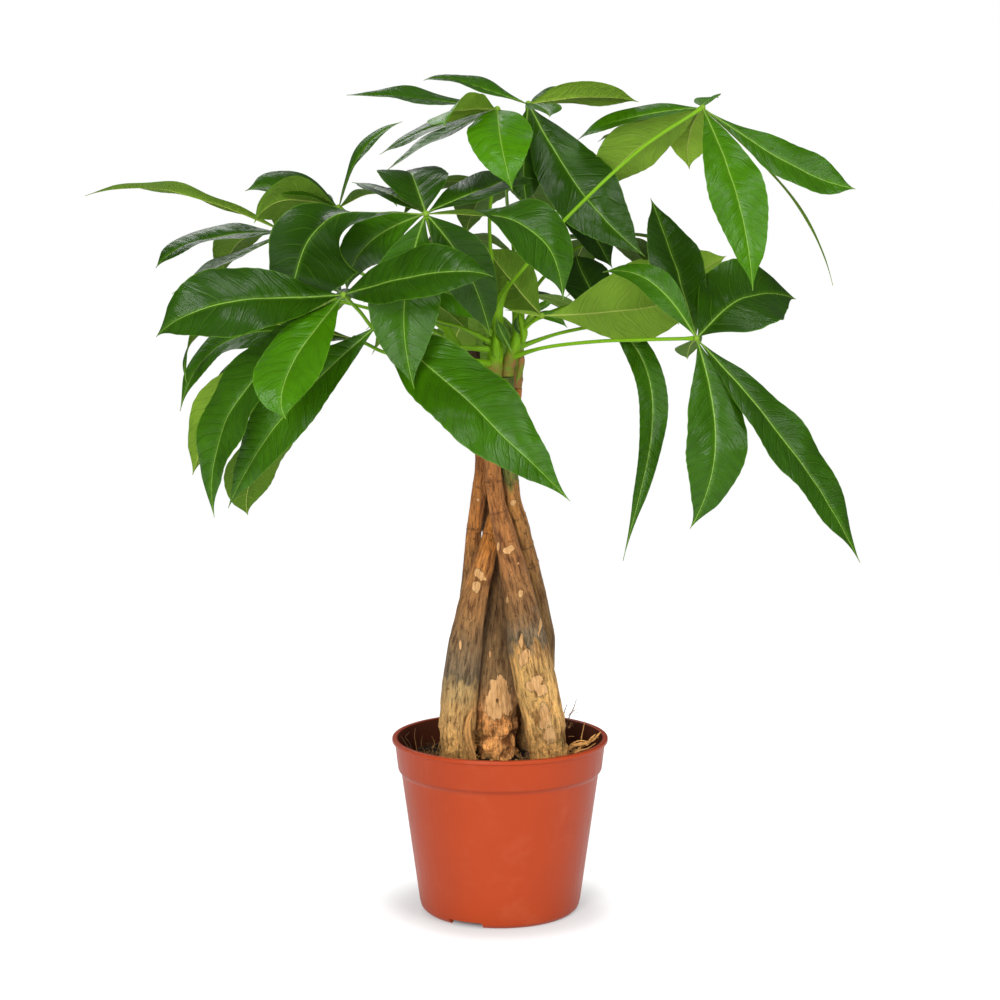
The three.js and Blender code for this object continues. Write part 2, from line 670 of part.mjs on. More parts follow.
function stalkSolid(route) {
  const hub = vector(route.at(-1));
  const before = vector(route.at(-2));
  const inward = before.clone().sub(hub).normalize();
  const end = hub.clone().addScaledVector(inward, hubRadius + gap);
  const swelling = hub.clone().addScaledVector(inward, hubRadius + stalk.swelling);
  const stations = [
    [...route[0], stalk.footRadius],
    ...route.slice(1, -1).map((point) => [...point, stalk.topRadius]),
    [...swelling.toArray(), stalk.topRadius],
    [...end.toArray(), stalk.endRadius],
  ];
  return limb(stations, stalk.sides, stalk.steps);
}

function shootSolid(shoot, leaves) {
  const axis = limb(shoot.stations, shootSides, shootSteps);
  return leaves
    .filter((leaf) => leaf.shoot === shoot.name)
    .reduce((joined, leaf) => joined.add(stalkSolid(leaf.route)), axis);
}

// ---------- the object ----------

const materials = {
  pot: () => new THREE.MeshStandardMaterial({ color: '#c4502a', roughness: 0.45, metalness: 0 }),
  soil: () => new THREE.MeshStandardMaterial({ color: '#2a1d15', roughness: 0.95, metalness: 0 }),
  bark: (colour) => new THREE.MeshStandardMaterial({ color: colour, roughness: 0.85, metalness: 0 }),
  stalk: () => new THREE.MeshStandardMaterial({ color: '#7da22f', roughness: 0.5, metalness: 0 }),
  leaf: () => new THREE.MeshStandardMaterial({
    color: '#2f6e1c', roughness: 0.35, metalness: 0, side: THREE.DoubleSide,
  }),
};

const allLeaves = [...shapedLeaves, ...fanLeaves];
const moneyTree = new THREE.Group();

moneyTree.add(toMesh('pot', potSolid(), materials.pot()));
moneyTree.add(toMesh('soil', soilSolid(), materials.soil()));
for (const trunk of trunks) {
  const solid = limb(trunk.stations, trunkSides, trunkSteps);
  moneyTree.add(toMesh(trunk.name, solid, materials.bark(trunk.colour)));
}
for (const shoot of shoots) {
  moneyTree.add(toMesh(shoot.name, shootSolid(shoot, allLeaves), materials.stalk()));
}
for (const leaf of allLeaves) {
  moneyTree.add(toMesh(leaf.name, leafSolid(leaf), materials.leaf()));
}

export default moneyTree;
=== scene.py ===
# Potted money tree: leaning stems, green shoots with long stalks, hand-shaped leaves, plain nursery pot.
import math
import bpy
import numpy as np
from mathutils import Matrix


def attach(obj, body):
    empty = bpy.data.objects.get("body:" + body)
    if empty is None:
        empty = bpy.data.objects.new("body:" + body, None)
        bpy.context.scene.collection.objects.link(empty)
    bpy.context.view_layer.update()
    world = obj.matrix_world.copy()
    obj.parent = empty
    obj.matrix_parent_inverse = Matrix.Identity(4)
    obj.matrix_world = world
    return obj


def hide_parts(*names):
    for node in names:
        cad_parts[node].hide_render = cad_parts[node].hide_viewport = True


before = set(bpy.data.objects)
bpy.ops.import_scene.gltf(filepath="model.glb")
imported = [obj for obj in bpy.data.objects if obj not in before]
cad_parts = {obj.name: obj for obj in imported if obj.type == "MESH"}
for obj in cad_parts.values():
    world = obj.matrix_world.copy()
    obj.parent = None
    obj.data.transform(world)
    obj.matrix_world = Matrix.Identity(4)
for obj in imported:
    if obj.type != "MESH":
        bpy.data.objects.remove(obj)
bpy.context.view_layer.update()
mm = 0.001
xAxis = np.array([1.0, 0, 0])
# Where the seeds of the random draws start, for each kind of part.
firstSeed = {"leaves": 0, "stipules": 900, "shoots": 31, "trunks": 7, "crumbs": 12, "roots": 44}
print("frame loaded")


# Every part is points in mm, quads, a UV pair for each quad corner, and numbers kept for each point. The
# numbers become attributes that the finishes read.

# Cells of a grid of rows and columns; a closed grid joins its last column to its first.
def gridCells(rows, columns, closed=False):
    across = columns if closed else columns - 1
    row, column = (index.ravel() for index in np.indices((rows - 1, across)))
    right = (column + 1) % columns
    quads = np.stack([row * columns + column, row * columns + right,
                      (row + 1) * columns + right, (row + 1) * columns + column], axis=1)
    uv = np.stack([np.stack([column, row], 1), np.stack([column + 1, row], 1),
                   np.stack([column + 1, row + 1], 1), np.stack([column, row + 1], 1)], axis=1)
    return quads, uv / np.array([across, rows - 1])


# A flat cap of quads over an even ring: corner k joins k+1 and their two opposite corners.
def ringCap(first, sides, turned):
    k = np.arange(sides // 2 - 1)
    cap = first + np.stack([k, k + 1, sides - 2 - k, sides - 1 - k], axis=1)
    return cap[:, ::-1] if turned else cap


# The skin with a flat cap on its first and its last ring. Where the rings run from the top down, its quads
# are turned round, so that they face outwards.
def closeEnds(quads, uv, rings, sides, fromTop=False):
    caps = [ringCap(0, sides, not fromTop), ringCap((rings - 1) * sides, sides, fromTop)]
    quads = quads[:, ::-1] if fromTop else quads
    capUv = [np.full((len(cap), 4, 2), 0.5) for cap in caps]
    return np.concatenate([quads] + caps), np.concatenate([uv] + capUv)


# A part of a grid of points. A number may be given for each row, or for each point, alone or by threes.
def gridPart(points, quads, uv, numbers):
    shape = points.shape[:2]
    given = {}
    for name, values in numbers.items():
        values = np.asarray(values, float)
        if values.ndim == 3:
            given[name] = values.reshape(-1, 3)
        else:
            given[name] = np.broadcast_to(values.reshape(shape[0], -1), shape).ravel()
    return {"points": points.reshape(-1, 3), "quads": quads, "uv": uv, "numbers": given}


def joinParts(parts):
    starts = np.cumsum([0] + [len(part["points"]) for part in parts[:-1]])
    joined = {
        "points": np.concatenate([part["points"] for part in parts]),
        "quads": np.concatenate([part["quads"] + start for part, start in zip(parts, starts)]),
        "uv": np.concatenate([part["uv"] for part in parts]),
        "numbers": {},
    }
    for name in parts[0]["numbers"]:
        joined["numbers"][name] = np.concatenate([part["numbers"][name] for part in parts])
    return joined


def newObject(name, data):
    thing = bpy.data.objects.new(name, data)
    bpy.context.scene.collection.objects.link(thing)
    return thing


# A part becomes a smooth mesh piece that rides on the body and takes over its CAD nodes.
def addPiece(name, part, material, nodes=(), sharpDegrees=50):
    mesh = bpy.data.meshes.new(name)
    points, quads = part["points"] * mm, part["quads"]
    mesh.vertices.add(len(points))
    mesh.vertices.foreach_set("co", points.ravel())
    mesh.loops.add(quads.size)
    mesh.loops.foreach_set("vertex_index", quads.ravel().astype(np.int32))
    mesh.polygons.add(len(quads))
    mesh.polygons.foreach_set("loop_start", np.arange(len(quads), dtype=np.int32) * 4)
    mesh.update(calc_edges=True)
    mesh.polygons.foreach_set("use_smooth", np.ones(len(quads), dtype=bool))
    mesh.uv_layers.new(name="surface").data.foreach_set("uv", part["uv"].ravel())
    for label, values in part["numbers"].items():
        kind, key = ("FLOAT_VECTOR", "vector") if values.ndim == 2 else ("FLOAT", "value")
        mesh.attributes.new(label, kind, "POINT").data.foreach_set(key, values.astype(np.float32).ravel())
    mesh.set_sharp_from_angle(angle=math.radians(sharpDegrees))
    mesh.materials.append(material)
    piece = newObject(name, mesh)
    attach(piece, "root")
    if nodes:
        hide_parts(*nodes)
    return piece


def unit(vectors):
    return vectors / np.maximum(np.linalg.norm(vectors, axis=-1, keepdims=True), 1e-9)


# How far along a line each of its points lies.
def travelled(line):
    return np.concatenate([[0], np.cumsum(np.linalg.norm(np.diff(line, axis=0), axis=1))])


# A centripetal Catmull-Rom line through the stations: each stretch is a Hermite curve whose end slopes come
# from the neighbours, weighed by the square roots of their distances.
def smoothLine(stations, count):
    p = np.asarray(stations, float)[:, :3]
    p = np.vstack([2 * p[0] - p[1], p, 2 * p[-1] - p[-2]])
    place = np.linspace(0, len(p) - 3, count)
    k = np.minimum(place.astype(int), len(p) - 4)
    w = (place - k)[:, None]
    gaps = np.sqrt(np.linalg.norm(np.diff(p, axis=0), axis=1))[:, None]
    d0, d1, d2 = gaps[k], gaps[k + 1], gaps[k + 2]
    a, b, c, d = p[k], p[k + 1], p[k + 2], p[k + 3]
    slopeIn = ((b - a) / d0 - (c - a) / (d0 + d1) + (c - b) / d1) * d1
    slopeOut = ((c - b) / d1 - (d - b) / (d1 + d2) + (d - c) / d2) * d1
    return (b + slopeIn * w + (3 * (c - b) - 2 * slopeIn - slopeOut) * w ** 2
            + (2 * (b - c) + slopeIn + slopeOut) * w ** 3)


# The smooth line through the stations, and at each of its points the radius, eased from station to station.
def smoothTube(stations, count):
    radii = np.asarray(stations, float)[:, 3]
    place = np.linspace(0, len(radii) - 1, count)
    k = np.minimum(place.astype(int), len(radii) - 2)
    w = place - k
    return smoothLine(stations, count), radii[k] + (radii[k + 1] - radii[k]) * w * w * (3 - 2 * w)


# Even turns round a circle, in radians.
def turns(sides):
    return np.arange(sides) * 2 * np.pi / sides


# A tube: at each point of the line, a circle of the given radius in the plane square to the line, closed by
# a cap at both ends. radius may be a grid of line points by sides.
def tubePart(line, radius, sides, numbers, reference=None):
    tangent = unit(np.gradient(line, axis=0))
    if reference is None:
        reference = np.eye(3)[np.argmin(np.abs(line[-1] - line[0]))]
    across = unit(reference - tangent * (tangent @ reference)[:, None])
    upward = np.cross(tangent, across)
    turn = turns(sides)
    radius = np.broadcast_to(np.asarray(radius, float).reshape(len(line), -1), (len(line), sides))
    points = (line[:, None] + radius[..., None] * (across[:, None] * np.cos(turn)[None, :, None]
                                                   + upward[:, None] * np.sin(turn)[None, :, None]))
    quads, uv = gridCells(len(line), sides, closed=True)
    uv = uv * np.array([1, travelled(line)[-1] / 100])
    return gridPart(points, *closeEnds(quads, uv, len(line), sides), numbers)


# Smooth unevenness in two directions: a sum of slanted sine waves with seeded directions and phases.
def ripple(a, b, seed, waves=6, lowest=1.0, highest=4.0):
    chance = np.random.default_rng(seed)
    total = np.zeros(np.broadcast(a, b).shape)
    for _ in range(waves):
        pitch = chance.uniform(lowest, highest)
        lean, phase = chance.uniform(0, 2 * np.pi, 2)
        total = total + np.sin(pitch * (a * np.cos(lean) + b * np.sin(lean)) + phase) / pitch
    return total * lowest / math.sqrt(waves)


# Cloudy unevenness from -1 to 1: a seeded block of random numbers, read at each place as a smooth blend of
# the eight nearest ones. It repeats past the block's side.
def cloud(x, y, z, seed, side=32):
    block = np.random.default_rng(seed).uniform(-1, 1, (side, side, side))
    places = np.stack(np.broadcast_arrays(x, y, z))
    cell = np.floor(places).astype(int)
    share = places - cell
    share = share * share * (3 - 2 * share)
    total = np.zeros(places.shape[1:])
    for corner in np.ndindex(2, 2, 2):
        near = np.array(corner).reshape(3, *[1] * (places.ndim - 1))
        weight = np.where(near == 1, share, 1 - share).prod(axis=0)
        total += weight * block[tuple((cell + near) % side)]
    return total


class Finish:
    # A short way to lay nodes. Each call adds a node or two, sets the inputs, links what comes from other
    # nodes and gives back the output.
    def __init__(self, name):
        self.material = bpy.data.materials.new(name)
        self.material.use_nodes = True
        self.tree = self.material.node_tree
        self.shader = self.tree.nodes["Principled BSDF"]

    def put(self, socket, value):
        if isinstance(value, bpy.types.NodeSocket):
            self.tree.links.new(value, socket)
        elif isinstance(value, tuple) and len(value) == 3 and socket.type == "RGBA":
            socket.default_value = (*value, 1)
        else:
            socket.default_value = value

    def add(self, kind, inputs, output=0, **settings):
        node = self.tree.nodes.new(kind)
        for key, value in settings.items():
            setattr(node, key, value)
        for key, value in inputs.items():
            self.put(node.inputs[key], value)
        return node.outputs[output]

    def set(self, **values):
        for key, value in values.items():
            self.put(self.shader.inputs[key.replace("_", " ")], value)

    def number(self, name):
        return self.add("ShaderNodeAttribute", {}, "Fac", attribute_name=name)

    def vector(self, name, scale=(1, 1, 1)):
        return self.scaled(self.add("ShaderNodeAttribute", {}, "Vector", attribute_name=name), scale)

    def objectPlace(self):
        return self.add("ShaderNodeTexCoord", {}, "Object")

    def surfacePlace(self, scale=(1, 1, 1)):
        place = self.add("ShaderNodeUVMap", {}, uv_map="surface")
        return self.add("ShaderNodeMapping", {"Vector": place, "Scale": scale})

    def noise(self, place, scale, detail=4.0, rough=0.55, output="Fac"):
        inputs = {"Vector": place, "Scale": scale, "Detail": detail, "Roughness": rough}
        return self.add("ShaderNodeTexNoise", inputs, output)

    def cells(self, place, scale, **settings):
        return self.add("ShaderNodeTexVoronoi", {"Vector": place, "Scale": scale}, "Distance", **settings)

    def scaled(self, vector, scale):
        return self.add("ShaderNodeVectorMath", {0: vector, 1: scale}, operation="MULTIPLY")

    def reckon(self, kind, a, b=0.0):
        return self.add("ShaderNodeMath", {0: a, 1: b}, operation=kind)

    def plus(self, a, b):
        return self.reckon("ADD", a, b)

    def minus(self, a, b):
        return self.reckon("SUBTRACT", a, b)

    def times(self, a, b):
        return self.reckon("MULTIPLY", a, b)

    def span(self, value, low, high, toLow=0.0, toHigh=1.0):
        inputs = {"Value": value, "From Min": low, "From Max": high, "To Min": toLow, "To Max": toHigh}
        return self.add("ShaderNodeMapRange", inputs, interpolation_type="SMOOTHSTEP")

    # So much of a value's swing round one half.
    def swing(self, value, amount):
        return self.times(self.minus(value, 0.5), amount)

    def blend(self, share, first, second):
        return self.add("ShaderNodeMix", {0: share, 6: first, 7: second}, 2, data_type="RGBA")

    # Colours laid over each other: each comes in by its share.
    def layers(self, colour, *pairs):
        for share, over in pairs:
            colour = self.blend(share, colour, over)
        return colour

    def bump(self, height, distance, strength=1.0, layer="Normal"):
        inputs = {"Height": height, "Distance": distance, "Strength": strength}
        self.put(self.shader.inputs[layer], self.add("ShaderNodeBump", inputs))


leafLook = {
    "deepGreen": (0.0130, 0.046, 0.001),
    "brightGreen": (0.053, 0.188, 0.0004),
    "veinGreen": (0.11, 0.27, 0.012),
    "midribGreen": (0.20, 0.36, 0.05),
    "underDeep": (0.075, 0.16, 0.012),
    "underBright": (0.20, 0.34, 0.03),
    "underMidrib": (0.33, 0.42, 0.08),
    "mottle": 0.30, "patches": 0.40,  # how far fine and broad patches move the green
    "veins": 0.22, "underVeins": 0.4, "halo": 0.16, "edge": 0.4, "midrib": 0.85,  # shares of the paler greens
    "roughness": (0.28, 0.60), "coat": (0.23, 0.03),  # of the upper and the lower side
    "coatRoughness": 0.13, "specular": 0.05,
    "relief": 0.0007, "bump": 0.6, "coatBump": 0.24,
}


# Leaf: green from deep to bright by the leaflet's tone, with a thin paler midrib and faint side veins, a
# lighter and duller underside, and bumps: creases along the veins with a net of small ones between them. The
# underside's paler green is partly its own and partly painted light shining through the leaf.
def leafFinish(look):
    finish = Finish("leafGreen")
    tone, under, along = finish.number("tone"), finish.number("underside"), finish.number("along")
    phase, share = finish.number("veinPhase"), finish.number("halfShare")
    place = finish.objectPlace()
    ribSide = finish.add("ShaderNodeSeparateXYZ", {0: finish.surfacePlace()}, "X")
    offRib = finish.reckon("ABSOLUTE", finish.minus(ribSide, 0.5))
    ribWidth = finish.span(along, 0, 1, 0.0085, 0.0035)
    midrib = finish.span(finish.reckon("DIVIDE", offRib, ribWidth), 0.45, 1.0, 1, 0)
    halo = finish.span(offRib, 0.006, 0.035, look["halo"], 0)
    offVein = finish.reckon("ABSOLUTE", finish.minus(finish.reckon("FRACT", phase), 0.5))
    vein = finish.times(finish.span(offVein, 0.455, 0.5), finish.span(share, 0.45, 0.95, 1, 0.1))
    mottle = finish.noise(place, 60, 6)
    patch = finish.noise(place, 13, 2)
    # tone is partly each leaflet's own green and partly painted light and shade.
    mixed = finish.plus(tone, finish.swing(mottle, look["mottle"]))
    mixed = finish.plus(mixed, finish.swing(patch, look["patches"]))
    # Painted shade and light: a little darker along the sunken side veins, a little lighter between them.
    mixed = finish.plus(mixed, finish.span(offVein, 0.2, 0.5, 0.02, -0.05))
    top = finish.layers(
        look["deepGreen"],
        (finish.span(mixed, 0, 1), look["brightGreen"]),
        (finish.times(vein, look["veins"]), look["veinGreen"]),
        (halo, look["veinGreen"]),
        (finish.span(share, 0.955, 1.0, 0, look["edge"]), look["veinGreen"]),
        (finish.times(midrib, look["midrib"]), look["midribGreen"]))
    # The underside's paler green is partly its own and partly painted light shining through the leaf.
    below = finish.layers(
        look["underDeep"],
        (finish.span(mixed, 0, 1), look["underBright"]),
        (finish.times(vein, look["underVeins"]), look["underMidrib"]),
        (midrib, look["underMidrib"]))
    rough = finish.plus(finish.span(under, 0, 1, *look["roughness"]), finish.times(mottle, 0.12))
    cells = finish.cells(place, 520.0, feature="DISTANCE_TO_EDGE")
    net = finish.times(finish.reckon("MINIMUM", cells, 0.25), finish.span(under, 0, 1, 0.3, 0.05))
    crease = finish.span(offVein, 0.38, 0.5, 0, -0.8)
    veinPlace = {"X": finish.times(phase, 2.6), "Y": finish.times(share, 2.2), "Z": tone}
    alongVeins = finish.add("ShaderNodeCombineXYZ", veinPlace)
    wrinkles = finish.times(finish.noise(alongVeins, 1.6, 5, 0.62), 4.0)
    height = finish.plus(finish.plus(net, crease), finish.plus(finish.noise(place, 190, 3), wrinkles))
    finish.bump(height, look["relief"], look["bump"])
    finish.bump(height, look["relief"], look["coatBump"], "Coat Normal")
    coat = finish.span(under, 0, 1, *look["coat"])
    finish.set(Base_Color=finish.blend(under, top, below), Roughness=rough, Coat_Weight=coat,
               Coat_Roughness=look["coatRoughness"], Specular_IOR_Level=look["specular"])
    return finish.material


leafGreen = leafFinish(leafLook)
print("leaf finish made")


# What every leaflet has, unless its own values say otherwise: the width's slopes at foot and tip, how far
# the halves fold up, how late the rib bends and the face turns, the relief in mm or as a share of the half
# width, and how fine the grid is.
blade = {"ribThickness": 1.5, "thickness": 0.5, "widest": 0.54, "footSlope": 1.43, "tipSlope": 1.22,
         "halves": (1, 1), "keel": 0.14, "late": 0.3, "turn": 2, "wave": 0.09, "sag": 0.075, "quilt": 0.46,
         "groove": 0.4, "scallop": 0.009, "veinPitch": 10.5, "rowPitch": 1.3, "mostRows": 124,
         "halfColumns": 8}


# One leaflet, counted from its hub: where the tip lies, how far the middle of the rib stands off the
# straight way, how wide it is, the way its upper side looks, and its tone: 0 is deep green, 1 bright green.
# The tone is partly the leaflet's own green and partly painted light and shade, brighter where light shines
# through and darker where the leaflet lies in shade.
def leaflet(tip, bow, width, face, tone=0.32, **own):
    values = {"tip": tip, "bow": bow, "width": width, "face": face, "faceTip": face, "tone": tone}
    return {**blade, **values, **own}


# A leaflet's rib: a smooth line through its stations where it has them, or else the straight way to the tip
# plus the bow times 4t(1-t), heavier towards the tip where late is more than nothing.
def ribLine(hub, leaf, t):
    if "stations" in leaf:
        path = smoothLine([[0, 0, 0], *leaf["stations"], leaf["tip"]], 300)
        places = np.linspace(0, 1, len(path))
        return np.array(hub, float) + np.stack([np.interp(t, places, axis) for axis in path.T], axis=1)
    bend = 4 * t * (1 - t) * (1 + leaf["late"] * (2 * t - 1))
    return (np.array(hub, float) + t[:, None] * np.array(leaf["tip"], float)
            + bend[:, None] * np.array(leaf["bow"], float))


# A leaflet's blade: two skins over a grid of along, t, and across, v. The half width is t to the foot slope
# times 1-t to the tip slope, scaled to one at its widest and drawn out into a thin tip; halves makes one
# half wider than the other. The halves rise from the rib as a shallow arch, or hang where the keel is less
# than nothing. They dip along the side veins, swell between them, sag and wave, and the edge is faintly
# scalloped in step with the veins. The face turns to faceTip by t to the turn. The lower skin lies under the
# upper one by the thickness, with the rib as a rounded ridge.
def leafletPart(hub, leaf, seed):
    chance = np.random.default_rng(seed)
    length, width = np.linalg.norm(leaf["tip"]), leaf["width"]
    rows = int(np.clip(length / leaf["rowPitch"], 20, leaf["mostRows"]))
    t = np.linspace(0.012, 1, rows)
    line = ribLine(hub, leaf, t)
    tangent = unit(ribLine(hub, leaf, t + 0.005) - ribLine(hub, leaf, t - 0.005))
    face, faceTip = np.array(leaf["face"], float), np.array(leaf["faceTip"], float)
    facing = face + (faceTip - face) * (t ** leaf["turn"])[:, None]
    side = unit(np.cross(tangent, facing))
    upper = np.cross(side, tangent)
    widest = blade["widest"]
    place = np.clip(t ** (math.log(widest) / math.log(leaf["widest"])), 0, 1)
    shape = (place / widest) ** leaf["footSlope"] * ((1 - place) / (1 - widest)) ** leaf["tipSlope"]
    drip = 1 - 0.45 * np.clip((place - 0.87) / 0.1, 0, 1)  # the thin tip
    half = np.maximum(width / 2 * shape * drip, 0.55 - 0.3 * t)[:, None]  # never quite nothing
    k = np.linspace(-1, 1, 2 * leaf["halfColumns"] + 1)
    v = (np.sign(k) * np.abs(k) ** 1.4)[None, :]  # columns lie closer at the rib
    half = half * np.where(v < 0, *leaf["halves"])
    along = travelled(line)[:, None]
    away = half * np.abs(v)
    pitch = leaf["veinPitch"] * (0.55 + 0.45 * min(width, 60) / 50)
    bent = 0.5 + 0.3 * np.abs(v) + 0.05 * np.sin(along / 17 + seed)
    jitter = 0.24 * np.sin(along / 11 + 2 * seed + (v > 0)) + 0.12 * np.sin(along / 4.7 + seed)
    phase = (along - bent * away) / pitch + 0.43 * (v > 0) + jitter
    swell = np.abs(np.sin(np.pi * phase)) ** 0.8 - 0.6
    fade = np.clip(np.abs(v) / 0.15, 0, 1) * np.clip((1 - np.abs(v)) / 0.2, 0.25, 1)
    fade = fade * np.clip(half / 10, 0, 1)
    rise = leaf["keel"] * half * (2.1 * np.abs(v) - 1.1 * v ** 2)
    beat = np.sin(along / chance.uniform(8, 12) + chance.uniform(0, 6) + 1.7 * (v > 0))
    wave = leaf["wave"] * half * v ** 2 * beat
    sag = leaf["sag"] * half * ripple(along / 16, 2.2 * v + np.zeros_like(along), seed, 6)
    height = rise + wave + sag + leaf["quilt"] * swell * fade * np.clip(width / 40, 0.3, 1.15)
    groove = leaf["groove"] * np.exp(-(away / 1.1) ** 2) * np.clip(half / 6, 0, 1)
    ridge = leaf["ribThickness"] / 2 * (1.15 - 0.8 * t)[:, None] * np.exp(-(away / 0.95) ** 2)
    skin = leaf["thickness"] * (0.35 + 0.65 * (1 - v ** 2)) * np.clip(half / 3, 0.4, 1)
    scallop = 1 + leaf["scallop"] * np.sin(2 * np.pi * phase + 1) * v ** 2 * np.clip(half / 12, 0, 1)
    middle = line[:, None] + side[:, None] * (half * v * scallop)[..., None]
    top = middle + upper[:, None] * (height - groove + skin / 2)[..., None]
    low = middle + upper[:, None] * (height - ridge - skin / 2)[..., None]
    columns = v.shape[1]
    cells, _ = gridCells(rows, columns)
    count = rows * columns
    edge = np.concatenate([np.arange(columns), np.arange(1, rows) * columns + columns - 1,
                           (rows - 1) * columns + np.arange(columns - 2, -1, -1),
                           np.arange(rows - 2, 0, -1) * columns])
    after = np.roll(edge, -1)
    rim = np.stack([edge, edge + count, after + count, after], axis=1)
    points = np.concatenate([top.reshape(-1, 3), low.reshape(-1, 3)])
    quads = np.concatenate([cells, cells[:, ::-1] + count, rim])
    flat = np.stack([0.5 + (half * v) / 100, np.broadcast_to(along / 200, (rows, columns))], axis=-1)
    flat = np.concatenate([flat.reshape(-1, 2)] * 2)
    numbers = {
        "veinPhase": np.tile(phase.ravel(), 2),
        "halfShare": np.tile(np.broadcast_to(np.abs(v), (rows, columns)).ravel(), 2),
        "underside": np.repeat([0.0, 1.0], count),
        "along": np.tile(np.broadcast_to(t[:, None], (rows, columns)).ravel(), 2),
        "tone": np.full(2 * count, leaf["tone"] + chance.uniform(-0.05, 0.05)),
    }
    return {"points": points, "quads": quads, "uv": flat[quads], "numbers": numbers}


knob = {"radius": 2.4, "rings": 9, "sides": 12,
        "numbers": {"veinPhase": 0.25, "halfShare": 0, "underside": 1, "along": 1, "tone": 0.6}}


# The knob where the leaflets of a leaf meet: rings from pole to pole, each one's radius the sine of its
# place.
def knobPart(centre):
    angle = np.linspace(0.12, np.pi - 0.12, knob["rings"])
    line = np.array(centre, float) + np.stack([0 * angle, 0 * angle, -knob["radius"] * np.cos(angle)], axis=1)
    numbers = {name: np.full(knob["rings"], value) for name, value in knob["numbers"].items()}
    return tubePart(line, knob["radius"] * np.sin(angle), knob["sides"], numbers, xAxis)


